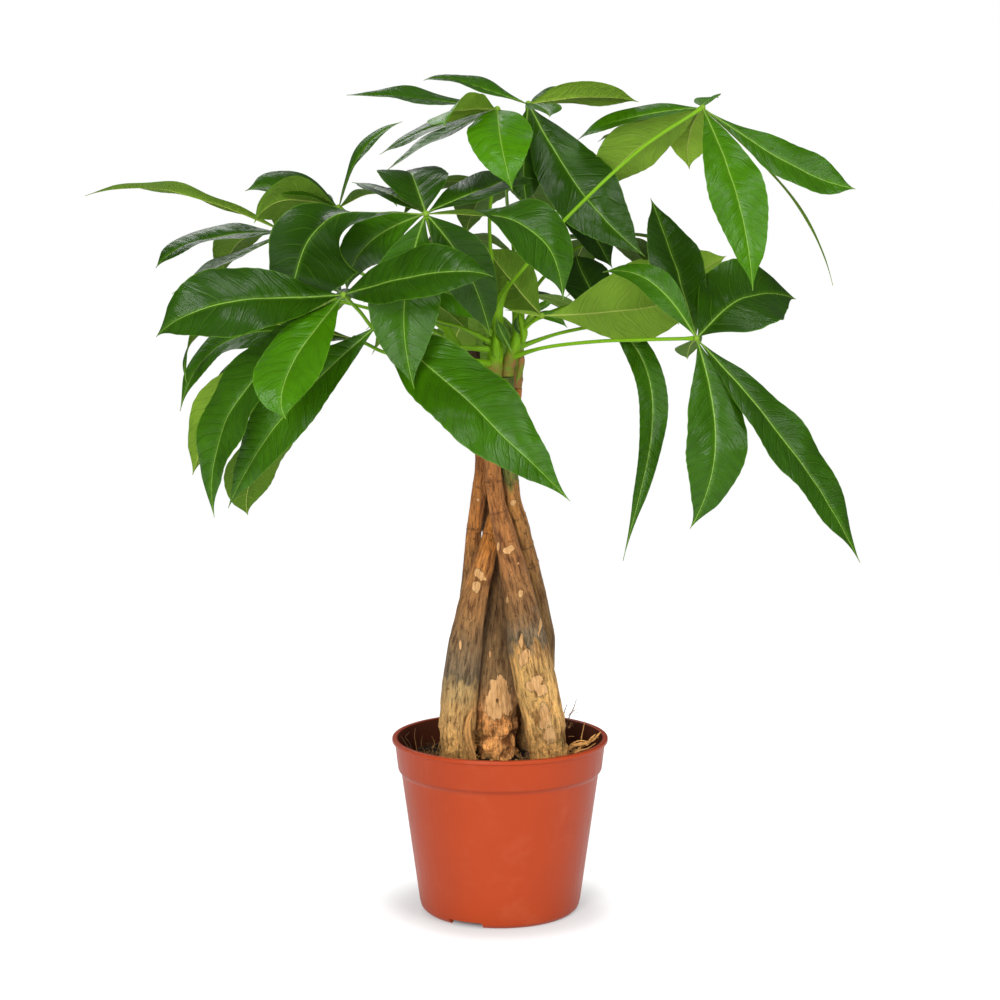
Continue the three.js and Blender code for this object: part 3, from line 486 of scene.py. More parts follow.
# The leaves seen from the front: the shoot that each grows from, its stalk's route from there to the hub,
# and its leaflets.
shapedLeaves = {
    "front_left": {
        "shoot": "main", "route": [[-6, -12, 447], [-50, -36, 452], [-88, -62, 460], [-104, -86, 480],
                                   [-114, -110, 493]],
        "leaflets": [
            leaflet([-130.5, -45, -28], [-5, -20, 11], 57, [0, -10, 6], 0.22, late=0.6),
            leaflet([109, -57, 15], [6, -22, 9], 44, [-1, -14, 8], 0.3, widest=0.45),
            leaflet([-37, -65, -85], [-14, -18, -3], 50, [-3, -10, 5], 0.55),
            leaflet([-100, 25, -167], [-25, -2, 12], 48, [-7, -10, 5], 0.34),
            leaflet([-49, 84, 18], [-2, 0, 5], 36, [0, -2, 10], 0.2),
        ]},
    "front_high": {
        "shoot": "main", "route": [[-6, -10, 458], [-19, -50, 478], [-33, -85, 492], [-46, -112, 525],
                                   [-53, -140, 552]],
        "leaflets": [
            leaflet([-20, 100, 30], [0, -5, 9], 52, [0, -4, 10], 0.12),
            leaflet([98, -10, -61], [16, -20, 24], 56, [2, 0, 10], 0.22, faceTip=[6, -20, 2]),
            leaflet([46, 45, -90], [3, -8, 10], 40, [2, -10, 1], 0.2),
            leaflet([-103, 46, -88], None, 66, [0, 1, 10], 0.06,
                    stations=[[-34, -5, 1], [-63, -6, -1], [-82, 2, -16], [-95, 20, -44]], widest=0.66,
                    halves=(1.2, 0.9), keel=-0.3, faceTip=[-8, -80, 0], turn=2.8),
            leaflet([-61, 64, -58], [-9, -4, 10], 34, [4, -10, 3], 0.4),
            leaflet([-9, 8, -126], [-11, 15, 6], 52, [0, -10, 2], 0.42),
            leaflet([77, 100, 26], [3, -5, 5], 42, [1, -3, 10], 0.1),
            leaflet([-58, 90, 23], [3, -5, 1], 24, [0, -2, 10], 0.15),
        ]},
    "front_low": {
        "shoot": "main", "route": [[-7, -14, 436], [-45, -52, 446], [-75, -78, 458], [-89, -86, 471]],
        "leaflets": [
            leaflet([140, -44, -127], [-4, -16, 8], 63, [4, -10, 4], 0.46, widest=0.48),
            leaflet([-118, 31, -142], [-5, -18, 11], 42, [-3, -10, 3], 0.45),
            leaflet([-107, 66, -152], [-25, 0, -7], 44, [-5, 9, 5], 0.14, widest=0.68),
        ]},
    "left_low": {
        "shoot": "left", "route": [[-38, 26, 450], [-70, 15, 440], [-91, 6, 444], [-113, 0, 455]],
        "leaflets": [
            leaflet([-128, 0, -107], [-15, 10, 18], 54, [-4, 8, 6], 0.6, widest=0.66),
            leaflet([-129, -20, -33], [-33, 15, 29], 28, [-2, 4, 10]),
            leaflet([-139, 15, -58], [-19, 18, 30], 40, [-5, -6, 8], 0.35),
            leaflet([-118, 45, -50], [-11, 18, 13], 36, [0, -4, 10]),
        ]},
    "left_far": {
        "shoot": "left", "route": [[-42, 27, 460], [-80, 32, 486], [-130, 42, 516], [-169, 52, 536]],
        "leaflets": [
            leaflet([-150, -60, 29], [-3, 5, 16], 34, [0, 2, 10], 0.4),
            leaflet([-107, 10, -28], [-10, 10, 10], 38, [0, -4, 10], 0.25),
            leaflet([-84, -64, -46], [0, 0, 2], 36, [-4, -2, 10], 0.12),
            leaflet([-66, 96, -40], [-6, 4, 16], 42, [-3, 4, 10]),
            leaflet([30, 84, -34], [0, 6, 14], 38, [2, 5, 10]),
        ]},
    "left_high": {
        "shoot": "left", "route": [[-45, 28, 466], [-70, 38, 505], [-105, 52, 540], [-129, 60, 556]],
        "leaflets": [
            leaflet([-71, -30, 13], [5, 0, 9], 50, [-2, -6, 10], 0.25),
            leaflet([-62, -52, -12], [-5, -5, 12], 42, [-3, 6, 6], 0.3),
            leaflet([52, -20, 67], [-9, 0, 6], 21, [-10, -4, 4], 0.4),
            leaflet([49, -50, 1], [3, 0, 11], 34, [2, -3, 10], 0.12),
            leaflet([-60, 96, -22], [-4, 6, 16], 42, [-3, 4, 10]),
        ]},
    "top_front": {
        "shoot": "main", "route": [[-3, -9, 472], [-8, -30, 545], [-4, -38, 588], [-2, -50, 629]],
        "leaflets": [
            leaflet([11, -65, -61], [-3, -18, 6], 48, [0, -10, 5], 0.72, widest=0.45),
            leaflet([-112, -10, 10], [-1, -5, 2], 38, [0, -3, 10], 0.25),
            leaflet([-37, -85, -15], [-10, -6, 5], 40, [-3, 5, 8], 0.85),
            leaflet([-89, 20, -33], [2, -5, 5], 28, [-2, -5, 10], 0.3),
            leaflet([-82, -30, -46], [-1, -5, 2], 28, [-2, -2, 10], 0.3),
        ]},
    "top_back": {
        "shoot": "back", "route": [[14, 24, 482], [17, 30, 530], [17, 36, 598], [22, 20, 636]],
        "leaflets": [
            leaflet([-82, 20, 19], [-4, 5, 6], 32, [0, -3, 10], 0.3, late=0.6),
            leaflet([85, -10, 1], [-2, 0, 5], 40, [0, 5, 10], 0.6),
            leaflet([43, 70, 17], [2, 0, 0], 28, [0, -2, 10], 0.35),
            leaflet([15, -80, -13], [3, 0, 2], 26, [0, 0, 10], 0.5),
            leaflet([89, -40, -117], [-9, 0, -2], 58, [3, -10, 3], 0.16),
            leaflet([68, 40, -128], [4, 5, -10], 42, [5, -10, 4], 0.1),
            leaflet([-1, -30, -78], [-3, 0, -4], 32, [0, -10, 3], 0.25),
        ]},
    "top_right": {
        "shoot": "main", "route": [[-4, -9, 462], [0, -20, 485], [21, -35, 514], [50, -45, 548],
                                   [106, -46, 600], [153, -30, 631]],
        "leaflets": [
            leaflet([34, -55, -136], [3, -18, 9], 44, [2, -10, 3], 0.62),
            leaflet([117, 0, -61], [1, 0, -8], 40, [2, -10, 8], 0.5, widest=0.62),
            leaflet([109, 55, -136], [11, 2, 9], 12, [10, 0, 6], 0.4),
            leaflet([19, 75, 11], [-3, -2, 2], 20, [0, 6, 10], 0.9),
            leaflet([-93, 45, -23], [-5, -2, 5], 34, [-2, -5, 10], 0.45),
            leaflet([-75, 90, -23], [-1, 0, 4], 34, [-2, -3, 10], 0.45),
            leaflet([-82, 62, -67], [-4, 4, 5], 50, [-3, 8, 6], 0.5),
            leaflet([-4, 66, -45], [-4, 5, 6], 40, [3, 8, 4], 0.85),
        ]},
    "right_low": {
        "shoot": "right", "route": [[10, -5, 441], [34, -20, 449], [75, -40, 455], [105, -54, 457],
                                    [147, -70, 459]],
        "leaflets": [
            leaflet([-70, 10, 49], [5, -10, 14], 26, [-5, -7, 10], 0.35),
            leaflet([-30, 80, 104], [3, -5, -4], 43, [3, -10, 3], 0.06),
            leaflet([84, 80, 26], [-6, -5, 14], 68, [1, -10, 7], 0.12),
            leaflet([-5, -20, -141], [15, -15, 4], 48, [3, -10, 2], 0.3),
            leaflet([124, -10, -168], [2, -12, 10], 44, [6, -10, 6], 0.25),
            leaflet([-1, 70, -20], [-2, -5, 3], 22, [-4, 6, 10], 0.05),
        ]},
    "right_inner": {
        "shoot": "right", "route": [[16, -5, 460], [24, -18, 468], [32, -30, 474]],
        "leaflets": [
            leaflet([126, 40, 14], [0, 5, -4], 74, [0, 10, 2], 0.55, widest=0.62, halves=(0.75, 1)),
            leaflet([-43, 30, 52], [-1, 5, -1], 44, [2, 10, 4], 0.35),
            leaflet([-28, -10, 5], [1, 0, 0], 16, [0, 2, 10], 0.7),
        ]},
    "young": {
        "shoot": "right", "route": [[16, -4, 462], [20, -6, 468], [24, -8, 473]],
        "leaflets": [
            leaflet([28, -3, -9], [0, 0, 4], 12, [0, -6, 10], 0.8),
            leaflet([-9, -2, 14], [-3, 0, 1], 7, [-8, -8, 4], 0.95),
            leaflet([16, 6, 10], [1, 0, 2], 8, [0, -6, 10], 0.9),
        ]},
    "right_behind": {
        "shoot": "right", "route": [[14, 0, 448], [45, 10, 458], [88, 25, 466]],
        "leaflets": [
            leaflet([9, -25, -186], [27, -2, 9], 25, [3, -10, 2], 0.36, late=-0.5, widest=0.3),
            leaflet([95, 55, 51], [5, 8, 3], 44, [-1, 10, 4], 0.6),
            leaflet([-26, 55, 52], [-5, 2, 4], 38, [-1, -10, 5], 0.05),
            leaflet([60, 90, -6], [4, 0, 16], 42, [2, 2, 10]),
        ]},
    "inner": {
        "shoot": "main", "route": [[-6, -12, 452], [-28, -22, 464], [-52, -34, 473], [-67, -40, 492]],
        "leaflets": [
            leaflet([58, 19, -25], [-1, -3, 11], 34, [0, -10, 8], 0.85),
            leaflet([44, 40, -33], [-2, 9, 5], 32, [0, 8, 6], 0.2),
            leaflet([-40, 60, -10], [0, 0, 8], 32, [0, 2, 10]),
        ]},
}

# The leaves of the back: each a fan of leaflets round its heading, in degrees from +X, each one hanging down
# by its own angle.
fanLeaves = {
    "back_left": {
        "shoot": "left", "route": [[-40, 27, 454], [-72, 62, 466], [-108, 98, 474], [-138, 122, 480]],
        "heading": 118, "spread": 88, "reach": 122, "width": 46, "hang": [5, 10, 17, 22, 12, 5]},
    "back_left_high": {
        "shoot": "left", "route": [[-46, 28, 468], [-54, 70, 500], [-60, 110, 520], [-62, 138, 528]],
        "heading": 95, "spread": 68, "reach": 122, "width": 44, "hang": [10, 14, 22, 17, 10]},
    "back_high": {
        "shoot": "back", "route": [[14, 24, 486], [10, 60, 530], [6, 100, 558], [5, 125, 572]],
        "heading": 90, "spread": 85, "reach": 132, "width": 46, "hang": [4, 10, 16, 19, 12, 6]},
    "back_right_high": {
        "shoot": "back", "route": [[14, 22, 474], [36, 50, 502], [60, 78, 522], [76, 98, 530]],
        "heading": 78, "spread": 62, "reach": 116, "width": 42, "hang": [10, 20, 24, 14]},
    "back_right_low": {
        "shoot": "back", "route": [[14, 21, 464], [55, 52, 478], [100, 88, 486], [135, 112, 490]],
        "heading": 72, "spread": 84, "reach": 126, "width": 46, "hang": [3, 10, 20, 16, 6]},
    "back_low": {
        "shoot": "back", "route": [[13, 19, 452], [2, 55, 466], [-12, 90, 474], [-20, 112, 478]],
        "heading": 94, "spread": 84, "reach": 134, "width": 46, "hang": [6, 9, 46, 50, 23, 14]},
}


# Shares: how much shorter and narrower the outer leaflets are, how far a rib leans out and arches up, and how
# far a level leaflet looks outwards.
fan = {"shortening": 0.3, "narrowing": 0.15, "lean": 0.1, "arch": 0.12, "face": 0.3}


# A fan's leaflets: turned evenly round the heading, the outer ones shorter and narrower.
def fanLeaflets(leaf):
    leaflets = []
    for index, degrees in enumerate(leaf["hang"]):
        share = 2 * index / (len(leaf["hang"]) - 1) - 1
        turn, tilt = math.radians(leaf["heading"] + leaf["spread"] * share), math.radians(degrees)
        length = leaf["reach"] * (1 - fan["shortening"] * share * share)
        level, drop = length * math.cos(tilt), length * math.sin(tilt)
        tip, bow, face = ([amount * math.cos(turn), amount * math.sin(turn), height] for amount, height in (
            (level, -drop), (fan["lean"] * drop, fan["arch"] * length), (fan["face"] * length + drop, level)))
        tone = 0.22 + 0.12 * math.sin(5 * index + leaf["heading"])
        leaflets.append(leaflet(tip, bow, leaf["width"] * (1 - fan["narrowing"] * abs(share)), face, tone))
    return leaflets


allLeaves = dict(shapedLeaves)
for name, leaf in fanLeaves.items():
    allLeaves[name] = {"shoot": leaf["shoot"], "route": leaf["route"], "leaflets": fanLeaflets(leaf)}

for leafIndex, (name, leaf) in enumerate(allLeaves.items()):
    hub = leaf["route"][-1]
    seed = firstSeed["leaves"] + 100 * leafIndex
    parts = [leafletPart(hub, each, seed + index) for index, each in enumerate(leaf["leaflets"])]
    parts.append(knobPart(hub))
    addPiece("foliage_" + name, joinParts(parts), leafGreen, ["leaf_" + name])
print("leaves made:", len(allLeaves))


# woody is the dry brown that the foot of a shoot and its dead scales have.
shootLook = {"stalk": (0.18, 0.37, 0.006), "stalkDeep": (0.085, 0.22, 0.003), "woody": (0.25, 0.125, 0.038),
             "roughness": (0.36, 0.5), "specular": 0.15, "relief": 0.0004, "bump": 0.4}


# Shoot: fresh green with fine lengthwise lines, turning woody where the attribute says so.
def shootFinish(look):
    finish = Finish("shootGreen")
    woody = finish.number("woody")
    lines = finish.noise(finish.surfacePlace((26, 5, 1)), 1.6, 4)
    patch = finish.noise(finish.objectPlace(), 60, 4)
    green = finish.blend(finish.span(lines, 0.3, 0.75), look["stalk"], look["stalkDeep"])
    brown = finish.blend(finish.span(patch, 0.35, 0.65), look["woody"], look["stalkDeep"])
    share = finish.span(finish.plus(woody, finish.times(patch, 0.5)), 0.5, 0.95)
    rough = finish.span(patch, 0.2, 0.8, *look["roughness"])
    finish.bump(lines, look["relief"], look["bump"])
    finish.set(Base_Color=finish.blend(share, green, brown), Roughness=rough,
               Specular_IOR_Level=look["specular"])
    return finish.material


shootGreen = shootFinish(shootLook)

# Each shoot: stations of x, y, z and radius, the heights of its rings, and its buds and curled scales, which
# have stations too; woody runs from 0, green, to 1, dry and brown.
shoots = {
    "main": {
        "stations": [[-5, -12, 418.4, 6], [-4.7, -12, 424, 6.2], [-4, -11, 440, 6.2], [-3, -9, 462, 5.2],
                     [-0.5, -16, 483, 3.8], [7, -26, 499, 2.0]],
        "rings": [424, 433, 441, 448, 455, 462, 470],
        "buds": [{"woody": 0, "stations": [[-2.5, -14.5, 438, 2], [-2.7, -17, 446, 3.5],
                                           [-3.1, -18, 453, 2.7], [-3.5, -18.3, 459, 0.3]]}]},
    "right": {
        "stations": [[5, -3, 425.8, 5.8], [5.1, -3, 431, 5.8], [10.5, -3, 446, 5.4], [15, -4, 462, 4],
                     [17, -5, 482, 2]],
        "rings": [430, 438, 446, 455, 463],
        "buds": [{"woody": 0, "stations": [[18, -7, 452, 1.7], [18.6, -8.5, 460, 3.0], [16.5, -9.5, 469, 2.3],
                                           [14.6, -10, 475, 0.3]]},
                 {"woody": 1, "stations": [[19, -8, 464, 0.8], [20, -9, 469, 0.8], [24, -9, 472, 0.7],
                                           [28, -9, 471, 0.5], [30, -8, 469.5, 0.2]]},
                 {"woody": 1, "stations": [[15.5, -4, 446, 1.8], [16.8, -4.5, 438, 2.6],
                                           [15.2, -4.5, 428, 2.2], [12.5, -4, 420, 0.4]]}]},
    "back": {
        "stations": [[11, 15, 415.4, 6.2], [11.5, 15.1, 421, 6.2], [13, 18, 440, 5.8], [14, 22, 470, 4.4],
                     [14, 24, 492, 2.4]],
        "rings": [422, 436, 450, 463, 474, 484],
        "buds": [{"woody": 0, "stations": [[15, 15, 445, 1.4], [18, 13, 453, 2.3], [19, 12, 462, 0.3]]}]},
    "left": {
        "stations": [[-11, 20, 405.4, 6.2], [-11.3, 20.3, 410, 6], [-22, 23, 430, 5.2], [-38, 27, 452, 4.2],
                     [-46, 28, 470, 2.4]],
        "rings": [410, 422, 436, 448, 458],
        "buds": [{"woody": 0, "stations": [[-27, 22, 434, 1.2], [-30, 20, 441, 2.2], [-33, 19, 450, 0.3]]}]},
}
axisForm = {"points": 70, "sides": 28, "ringSwell": 0.09, "ringHeight": 1.6, "uneven": 0.03, "woodyReach": 26}
stalkForm = {"radius": 1.4, "foot": 2.1, "top": 1.8, "points": 46, "sides": 12}
budForm = {"points": 22, "sides": 14}


# A shoot's axis: a tube whose radius swells slightly at each ring where a stalk leaves it.
def shootPart(shoot, seed):
    line, radii = smoothTube(shoot["stations"], axisForm["points"])
    height = line[:, 2]
    swell = sum(axisForm["ringSwell"] * np.exp(-((height - ring) / axisForm["ringHeight"]) ** 2)
                for ring in shoot["rings"])
    turn = turns(axisForm["sides"])[None]
    uneven = axisForm["uneven"] * ripple(height[:, None] / 5, 2 * np.cos(turn) + 3 * np.sin(turn), seed)
    woody = np.clip(1.15 - (height - height[0]) / axisForm["woodyReach"], 0, 1)
    radius = (radii * (1 + swell))[:, None] * (1 + uneven)
    return tubePart(line, radius, axisForm["sides"], {"woody": woody}, xAxis)


# A leaf stalk: a thin tube along its route, swollen where it leaves the shoot and just below the hub.
def stalkPart(route):
    hub, before = np.array(route[-1], float), np.array(route[-2], float)
    inward = unit(before - hub)
    usual = stalkForm["radius"]
    stations = ([[*route[0], stalkForm["foot"]]] + [[*point, usual] for point in route[1:-1]]
                + [[*(hub + 11 * inward), usual], [*(hub + 2.0 * inward), stalkForm["top"]]])
    line, radii = smoothTube(stations, stalkForm["points"])
    t = np.linspace(0, 1, len(line))
    radii = radii * (1 + 0.35 * np.exp(-(t / 0.05) ** 2) + 0.22 * np.exp(-((1 - t) / 0.04) ** 2))
    return tubePart(line, radii, stalkForm["sides"], {"woody": 0 * t})


# A bud or a curled scale: a tube along its stations.
def budPart(bud):
    line, radii = smoothTube(bud["stations"], budForm["points"])
    return tubePart(line, radii, budForm["sides"], {"woody": np.full(len(line), bud["woody"])})


for index, (name, shoot) in enumerate(shoots.items()):
    parts = [shootPart(shoot, firstSeed["shoots"] + index)] + [budPart(bud) for bud in shoot["buds"]]
    parts += [stalkPart(leaf["route"]) for leaf in allLeaves.values() if leaf["shoot"] == name]
    addPiece("stalks_" + name, joinParts(parts), shootGreen, ["shoot_" + name])

# Stipules: small narrow blades that clasp the shoots, each from its foot to its tip.
stipules = [
    ([9.5, -15.5, 445], leaflet([-12, -3, 26], [-1.5, -2, 1], 8, [2, -10, 1], 0.3)),
    ([19, -9, 456], leaflet([-5, 2, 17], [-2, 0, 0], 7, [-3, -9, 2], 0.15)),
    ([-3, -3, 441], leaflet([-9, 6, 18], [-2, 2, 0], 6, [-5, 8, 2], 0.5)),
    ([12, 24, 448], leaflet([3, 9, 17], [0, 3, 0], 6, [1, 9, 2], 0.45)),
]
seed = firstSeed["stipules"]
parts = [leafletPart(foot, stipule, seed + index) for index, (foot, stipule) in enumerate(stipules)]
addPiece("stipules", joinParts(parts), leafGreen)
print("shoots made")


# deepShare and paleShare darken and pale the tint: painted shade in hollows, painted light on ridges.
barkLook = {"scar": (0.92, 0.53, 0.22), "scarDeep": (0.72, 0.37, 0.13), "scarLine": (0.40, 0.17, 0.05),
            "crack": (0.030, 0.015, 0.007), "moss": (0.15, 0.17, 0.05), "deepShare": (0.40, 0.31, 0.24),
            "paleShare": (1.6, 1.55, 1.45),
            "fibres": 1150, "flakes": 430, "patches": 95, "grain": 900, "plates": 420,  # higher is finer
            "relief": 0.0035, "roughness": (0.5, 0.85), "specular": 0.3}


# Bark: the stem's own colour bands with thin lengthwise fibres, its own flaky mottle, a net of small dry
# plates near the foot, dark cracks, and bare scars. Painted shade and light come on top: darker in the
# hollows and paler on the ridges of the relief, and a painted shadow along the scars' frayed edges.
def barkFinish(look):
    finish = Finish("barkBrown")
    scar, foot, relief, crack = (finish.number(name) for name in ("scar", "foot", "relief", "crack"))
    tint = finish.vector("tint")
    fibres = finish.noise(finish.vector("straight", (1, 1, 0.09)), look["fibres"], 8, 0.7)
    flakes = finish.noise(finish.vector("straight", (1, 1, 0.2)), look["flakes"], 6, 0.62)
    patches = finish.noise(finish.vector("straight", (1, 1, 0.6)), look["patches"], 5)
    grain = finish.noise(finish.objectPlace(), look["grain"], 5, 0.7)
    # relief brings painted shade to the hollows and painted light to the ridges; flakes and grain are mottle.
    shade = finish.plus(finish.times(relief, 0.3), finish.times(flakes, 1.3))
    shade = finish.plus(shade, finish.swing(grain, 0.5))
    deepTint, paleTint = (finish.scaled(tint, look[part]) for part in ("deepShare", "paleShare"))
    moss = finish.span(finish.noise(finish.objectPlace(), 55, 4), 0.55, 0.68)
    moss = finish.times(finish.times(moss, foot), 0.45)
    shift = finish.noise(finish.vector("straight"), 260, 3, 0.5, "Color")
    shift = finish.scaled(shift, (0.0035, 0.0035, 0.0035))
    evener = finish.vector("straight", (1, 1, 0.5))
    shifted = finish.add("ShaderNodeVectorMath", {0: evener, 1: shift}, operation="ADD")
    plates = finish.cells(shifted, look["plates"], feature="DISTANCE_TO_EDGE")
    seams = finish.times(finish.span(plates, 0.0, 0.16, 0.42, 0), foot)
    lines = finish.span(fibres, 0.35, 0.46, 0.7, 0)
    dark = finish.reckon("MAXIMUM", finish.reckon("MAXIMUM", seams, lines), finish.times(crack, 0.9))
    frayed = finish.plus(scar, finish.swing(flakes, 0.8))
    frayed = finish.plus(frayed, finish.swing(grain, 0.25))
    bare = finish.span(frayed, 0.47, 0.51)
    bareColour = finish.layers(look["scarDeep"], (finish.span(flakes, 0.38, 0.6), look["scar"]),
                               (finish.times(lines, 0.5), look["scarLine"]))
    colour = finish.layers(
        deepTint,
        (finish.span(shade, 0.32, 0.68), tint),
        (finish.span(shade, 0.68, 1.05, 0, 0.9), paleTint),
        (finish.span(patches, 0.5, 0.7, 0, 0.6), paleTint),
        (moss, look["moss"]),
        (dark, look["crack"]),
        # painted shadow along each scar's frayed edge
        (finish.span(frayed, 0.40, 0.47, 0, 0.6), look["crack"]),
        (bare, bareColour))
    height = finish.plus(finish.times(fibres, 0.9), finish.times(grain, 0.4))
    height = finish.plus(height, finish.times(flakes, 1.2))
    height = finish.minus(height, finish.times(dark, 0.5))
    height = finish.minus(height, finish.times(bare, 0.35))
    rough = finish.span(grain, 0.2, 0.8, *look["roughness"])
    finish.bump(height, look["relief"])
    finish.set(Base_Color=colour, Roughness=rough, Specular_IOR_Level=look["specular"])
    return finish.material


barkBrown = barkFinish(barkLook)

# Stations are x, y, z and radius. Each scar is x, z, half width, half height, lean in degrees and the side
# it is on: -1 for the front, 1 for the back. Each band is a height and the bark's colour there.
trunks = {
    "front_left": {
        "stations": [[-33, -11, 78, 11], [-33.2, -12, 121, 13.4], [-33.4, -12, 150, 14.3],
                     [-31.6, -12, 180, 14.4], [-28, -12, 210, 13.6], [-23, -10, 240, 11.6],
                     [-15, -4, 270, 9.2], [-6.5, 3, 300, 7.4], [2, 11, 330, 6.6], [6, 14, 360, 6.4],
                     [9, 15, 390, 6.2], [11, 15, 415, 6.4]],
        "scars": [[-16.5, 268.5, 5.2, 3.2, -20, -1], [-18, 259.5, 3.4, 4, 0, -1], [-31, 216, 1, 4, 0, -1],
                  [-27, 200, 3, 7, 0, 1], [-36, 160, 7, 12, 10, 1], [-22, 236, 3, 5, 0, 1]],
        "rings": [301, 331, 360],
        "bands": [[78, (0.66, 0.31, 0.08)], [130, (0.76, 0.39, 0.11)], [150, (0.84, 0.47, 0.155)],
                  [170, (0.70, 0.42, 0.15)], [184, (0.48, 0.32, 0.13)], [190, (0.17, 0.125, 0.065)],
                  [198, (0.25, 0.168, 0.088)], [208, (0.265, 0.17, 0.082)], [222, (0.31, 0.172, 0.067)],
                  [255, (0.42, 0.19, 0.055)], [290, (0.55, 0.20, 0.034)], [415, (0.54, 0.20, 0.036)]]},
    "centre": {
        "rugged": 1.0,  # how deeply lumped and cracked the foot is
        "stations": [[-4, 1, 78, 11], [-3.4, 0, 121, 15], [-3, 1, 150, 16.6], [-2.4, 4, 180, 15.6],
                     [-2, 8, 210, 13.6], [-1, 12, 240, 11.6], [-2, 17, 270, 9.4], [-6, 22, 300, 7.8],
                     [-11, 23, 330, 6.8], [-12, 21, 360, 6.4], [-11, 19, 385, 6.3], [-11, 20, 405, 6.4]],
        "scars": [[-0.5, 177, 8, 10, 0, -1], [-5, 163, 7, 9, 20, -1], [3, 168, 6, 12, 0, -1],
                  [-8, 205, 1, 3, 0, -1], [-4, 190, 6, 10, 0, 1]],
        "rings": [305, 340, 371],
        "bands": [[78, (0.76, 0.32, 0.09)], [128, (0.93, 0.43, 0.13)], [150, (0.88, 0.39, 0.115)],
                  [165, (0.66, 0.32, 0.11)], [186, (0.32, 0.18, 0.07)], [212, (0.24, 0.135, 0.053)],
                  [262, (0.21, 0.105, 0.037)], [405, (0.32, 0.135, 0.04)]]},
    "front_right": {
        "stations": [[39, -14, 78, 12], [38, -16, 121, 14.4], [35.4, -16, 150, 15.8], [29, -15, 180, 16.8],
                     [23, -14, 210, 16], [18, -13, 240, 13.4], [11.6, -12, 270, 11], [4.4, -12.5, 300, 8.8],
                     [-3, -13, 330, 6.8], [-6, -12.5, 360, 6.1], [-7, -12, 390, 6], [-5, -12, 418, 6.2]],
        "scars": [[7, 292, 4.4, 2.6, 0, -1], [16.4, 257, 2.2, 3, 0, -1], [5.2, 253, 1.2, 2.6, 0, -1],
                  [-1.5, 296, 0.9, 3, 0, -1], [14.5, 280, 1.1, 1.2, 0, -1], [16.6, 221, 2.2, 7, 0, -1],
                  [18.6, 208, 3.4, 7, -14, -1], [27, 187, 6.5, 5.5, 25, -1], [31, 182, 6, 4.5, -30, -1],
                  [35, 161, 5.5, 9, 0, -1], [38, 146, 4.5, 6, 10, -1], [32.5, 232, 1.3, 9, -14, -1],
                  [30, 200, 8, 14, 0, 1], [40, 150, 6, 8, 0, 1]],
        "rings": [299, 322, 346, 371],
        "bands": [[78, (0.66, 0.30, 0.075)], [130, (0.82, 0.42, 0.12)], [160, (0.93, 0.53, 0.17)],
                  [190, (0.77, 0.45, 0.14)], [213, (0.62, 0.34, 0.11)], [220, (0.18, 0.13, 0.07)],
                  [228, (0.27, 0.185, 0.10)], [241, (0.34, 0.175, 0.062)], [290, (0.42, 0.17, 0.048)],
                  [335, (0.46, 0.175, 0.042)], [418, (0.44, 0.17, 0.045)]]},
    "back_right": {
        "stations": [[26, 31, 78, 11], [25.5, 32, 121, 14.5], [26, 30, 150, 15.5], [28.5, 27, 180, 14.5],
                     [32, 22, 210, 12.2], [28, 18, 240, 11], [22, 13, 270, 10], [16, 6, 300, 8.4],
                     [10, -1, 330, 6.4], [7, -2.5, 360, 6.2], [6.5, -3, 390, 6.1], [5, -3, 425, 6.0]],
        "scars": [[10.7, 328, 2.8, 2.2, 0, -1], [33, 168, 7, 10, 0, 1], [28, 140, 8, 7, 20, 1],
                  [25, 250, 4, 7, -10, 1]],
        "rings": [276, 292, 316, 343, 372],
        "bands": [[78, (0.56, 0.29, 0.10)], [180, (0.50, 0.27, 0.09)], [215, (0.31, 0.185, 0.07)],
                  [260, (0.36, 0.18, 0.053)], [325, (0.46, 0.20, 0.048)], [340, (0.46, 0.21, 0.05)],
                  [346, (0.16, 0.17, 0.035)], [425, (0.13, 0.20, 0.03)]]},
    "back_left": {
        "stations": [[-28, 31, 78, 10], [-28, 31, 121, 11.6], [-28, 30, 150, 11.4], [-27, 27, 180, 10.6],
                     [-26, 22, 210, 9.4], [-25, 18, 240, 8], [-23, 15, 270, 6.9], [-21, 12.5, 300, 6],
                     [-17, 7, 330, 5.8], [-13, 3, 358, 6.4], [-16, 3, 390, 5.6], [-19, 2, 420, 5.2],
                     [-21, 1, 445, 5]],
        "scars": [[-17.4, 329, 1.6, 1.2, 0, -1], [-28, 150, 7, 11, 0, 1], [-26, 205, 4, 8, 10, 1]],
        "rings": [303, 306, 340, 372, 404, 432],
        "bands": [[78, (0.52, 0.27, 0.09)], [190, (0.42, 0.22, 0.08)], [215, (0.28, 0.185, 0.08)],
                  [260, (0.38, 0.185, 0.058)], [310, (0.52, 0.20, 0.045)], [400, (0.42, 0.145, 0.035)],
                  [436, (0.13, 0.055, 0.025)], [445, (0.10, 0.05, 0.025)]]},
}


# What every trunk has: how fine its grid is, where the rough foot starts and how far it reaches, how rugged
# it is unless it says otherwise, and the relief in mm; of a pair, the second comes on top at the foot.
bark = {"rows": 560, "sides": 128, "footLow": 121, "footReach": 66, "rugged": 0.35, "ringSwell": 0.05,
        "fibres": (0.16, 0.2), "wrinkles": 0.22, "flakes": (0.06, 0.42), "lumps": 4.6, "knobs": 1.7,
        "cracks": 1.1, "pits": 0.35, "scars": 0.35,
        # how wide and how tall, in mm, and the seed's step of fibres, wrinkles, plates, lumps, knobs and dots
        "clouds": [(1.9, 10, 0), (4, 17, 10), (3, 5, 20), (7, 6, 30), (3.4, 3.1, 60), (1.5, 2.2, 50)]}


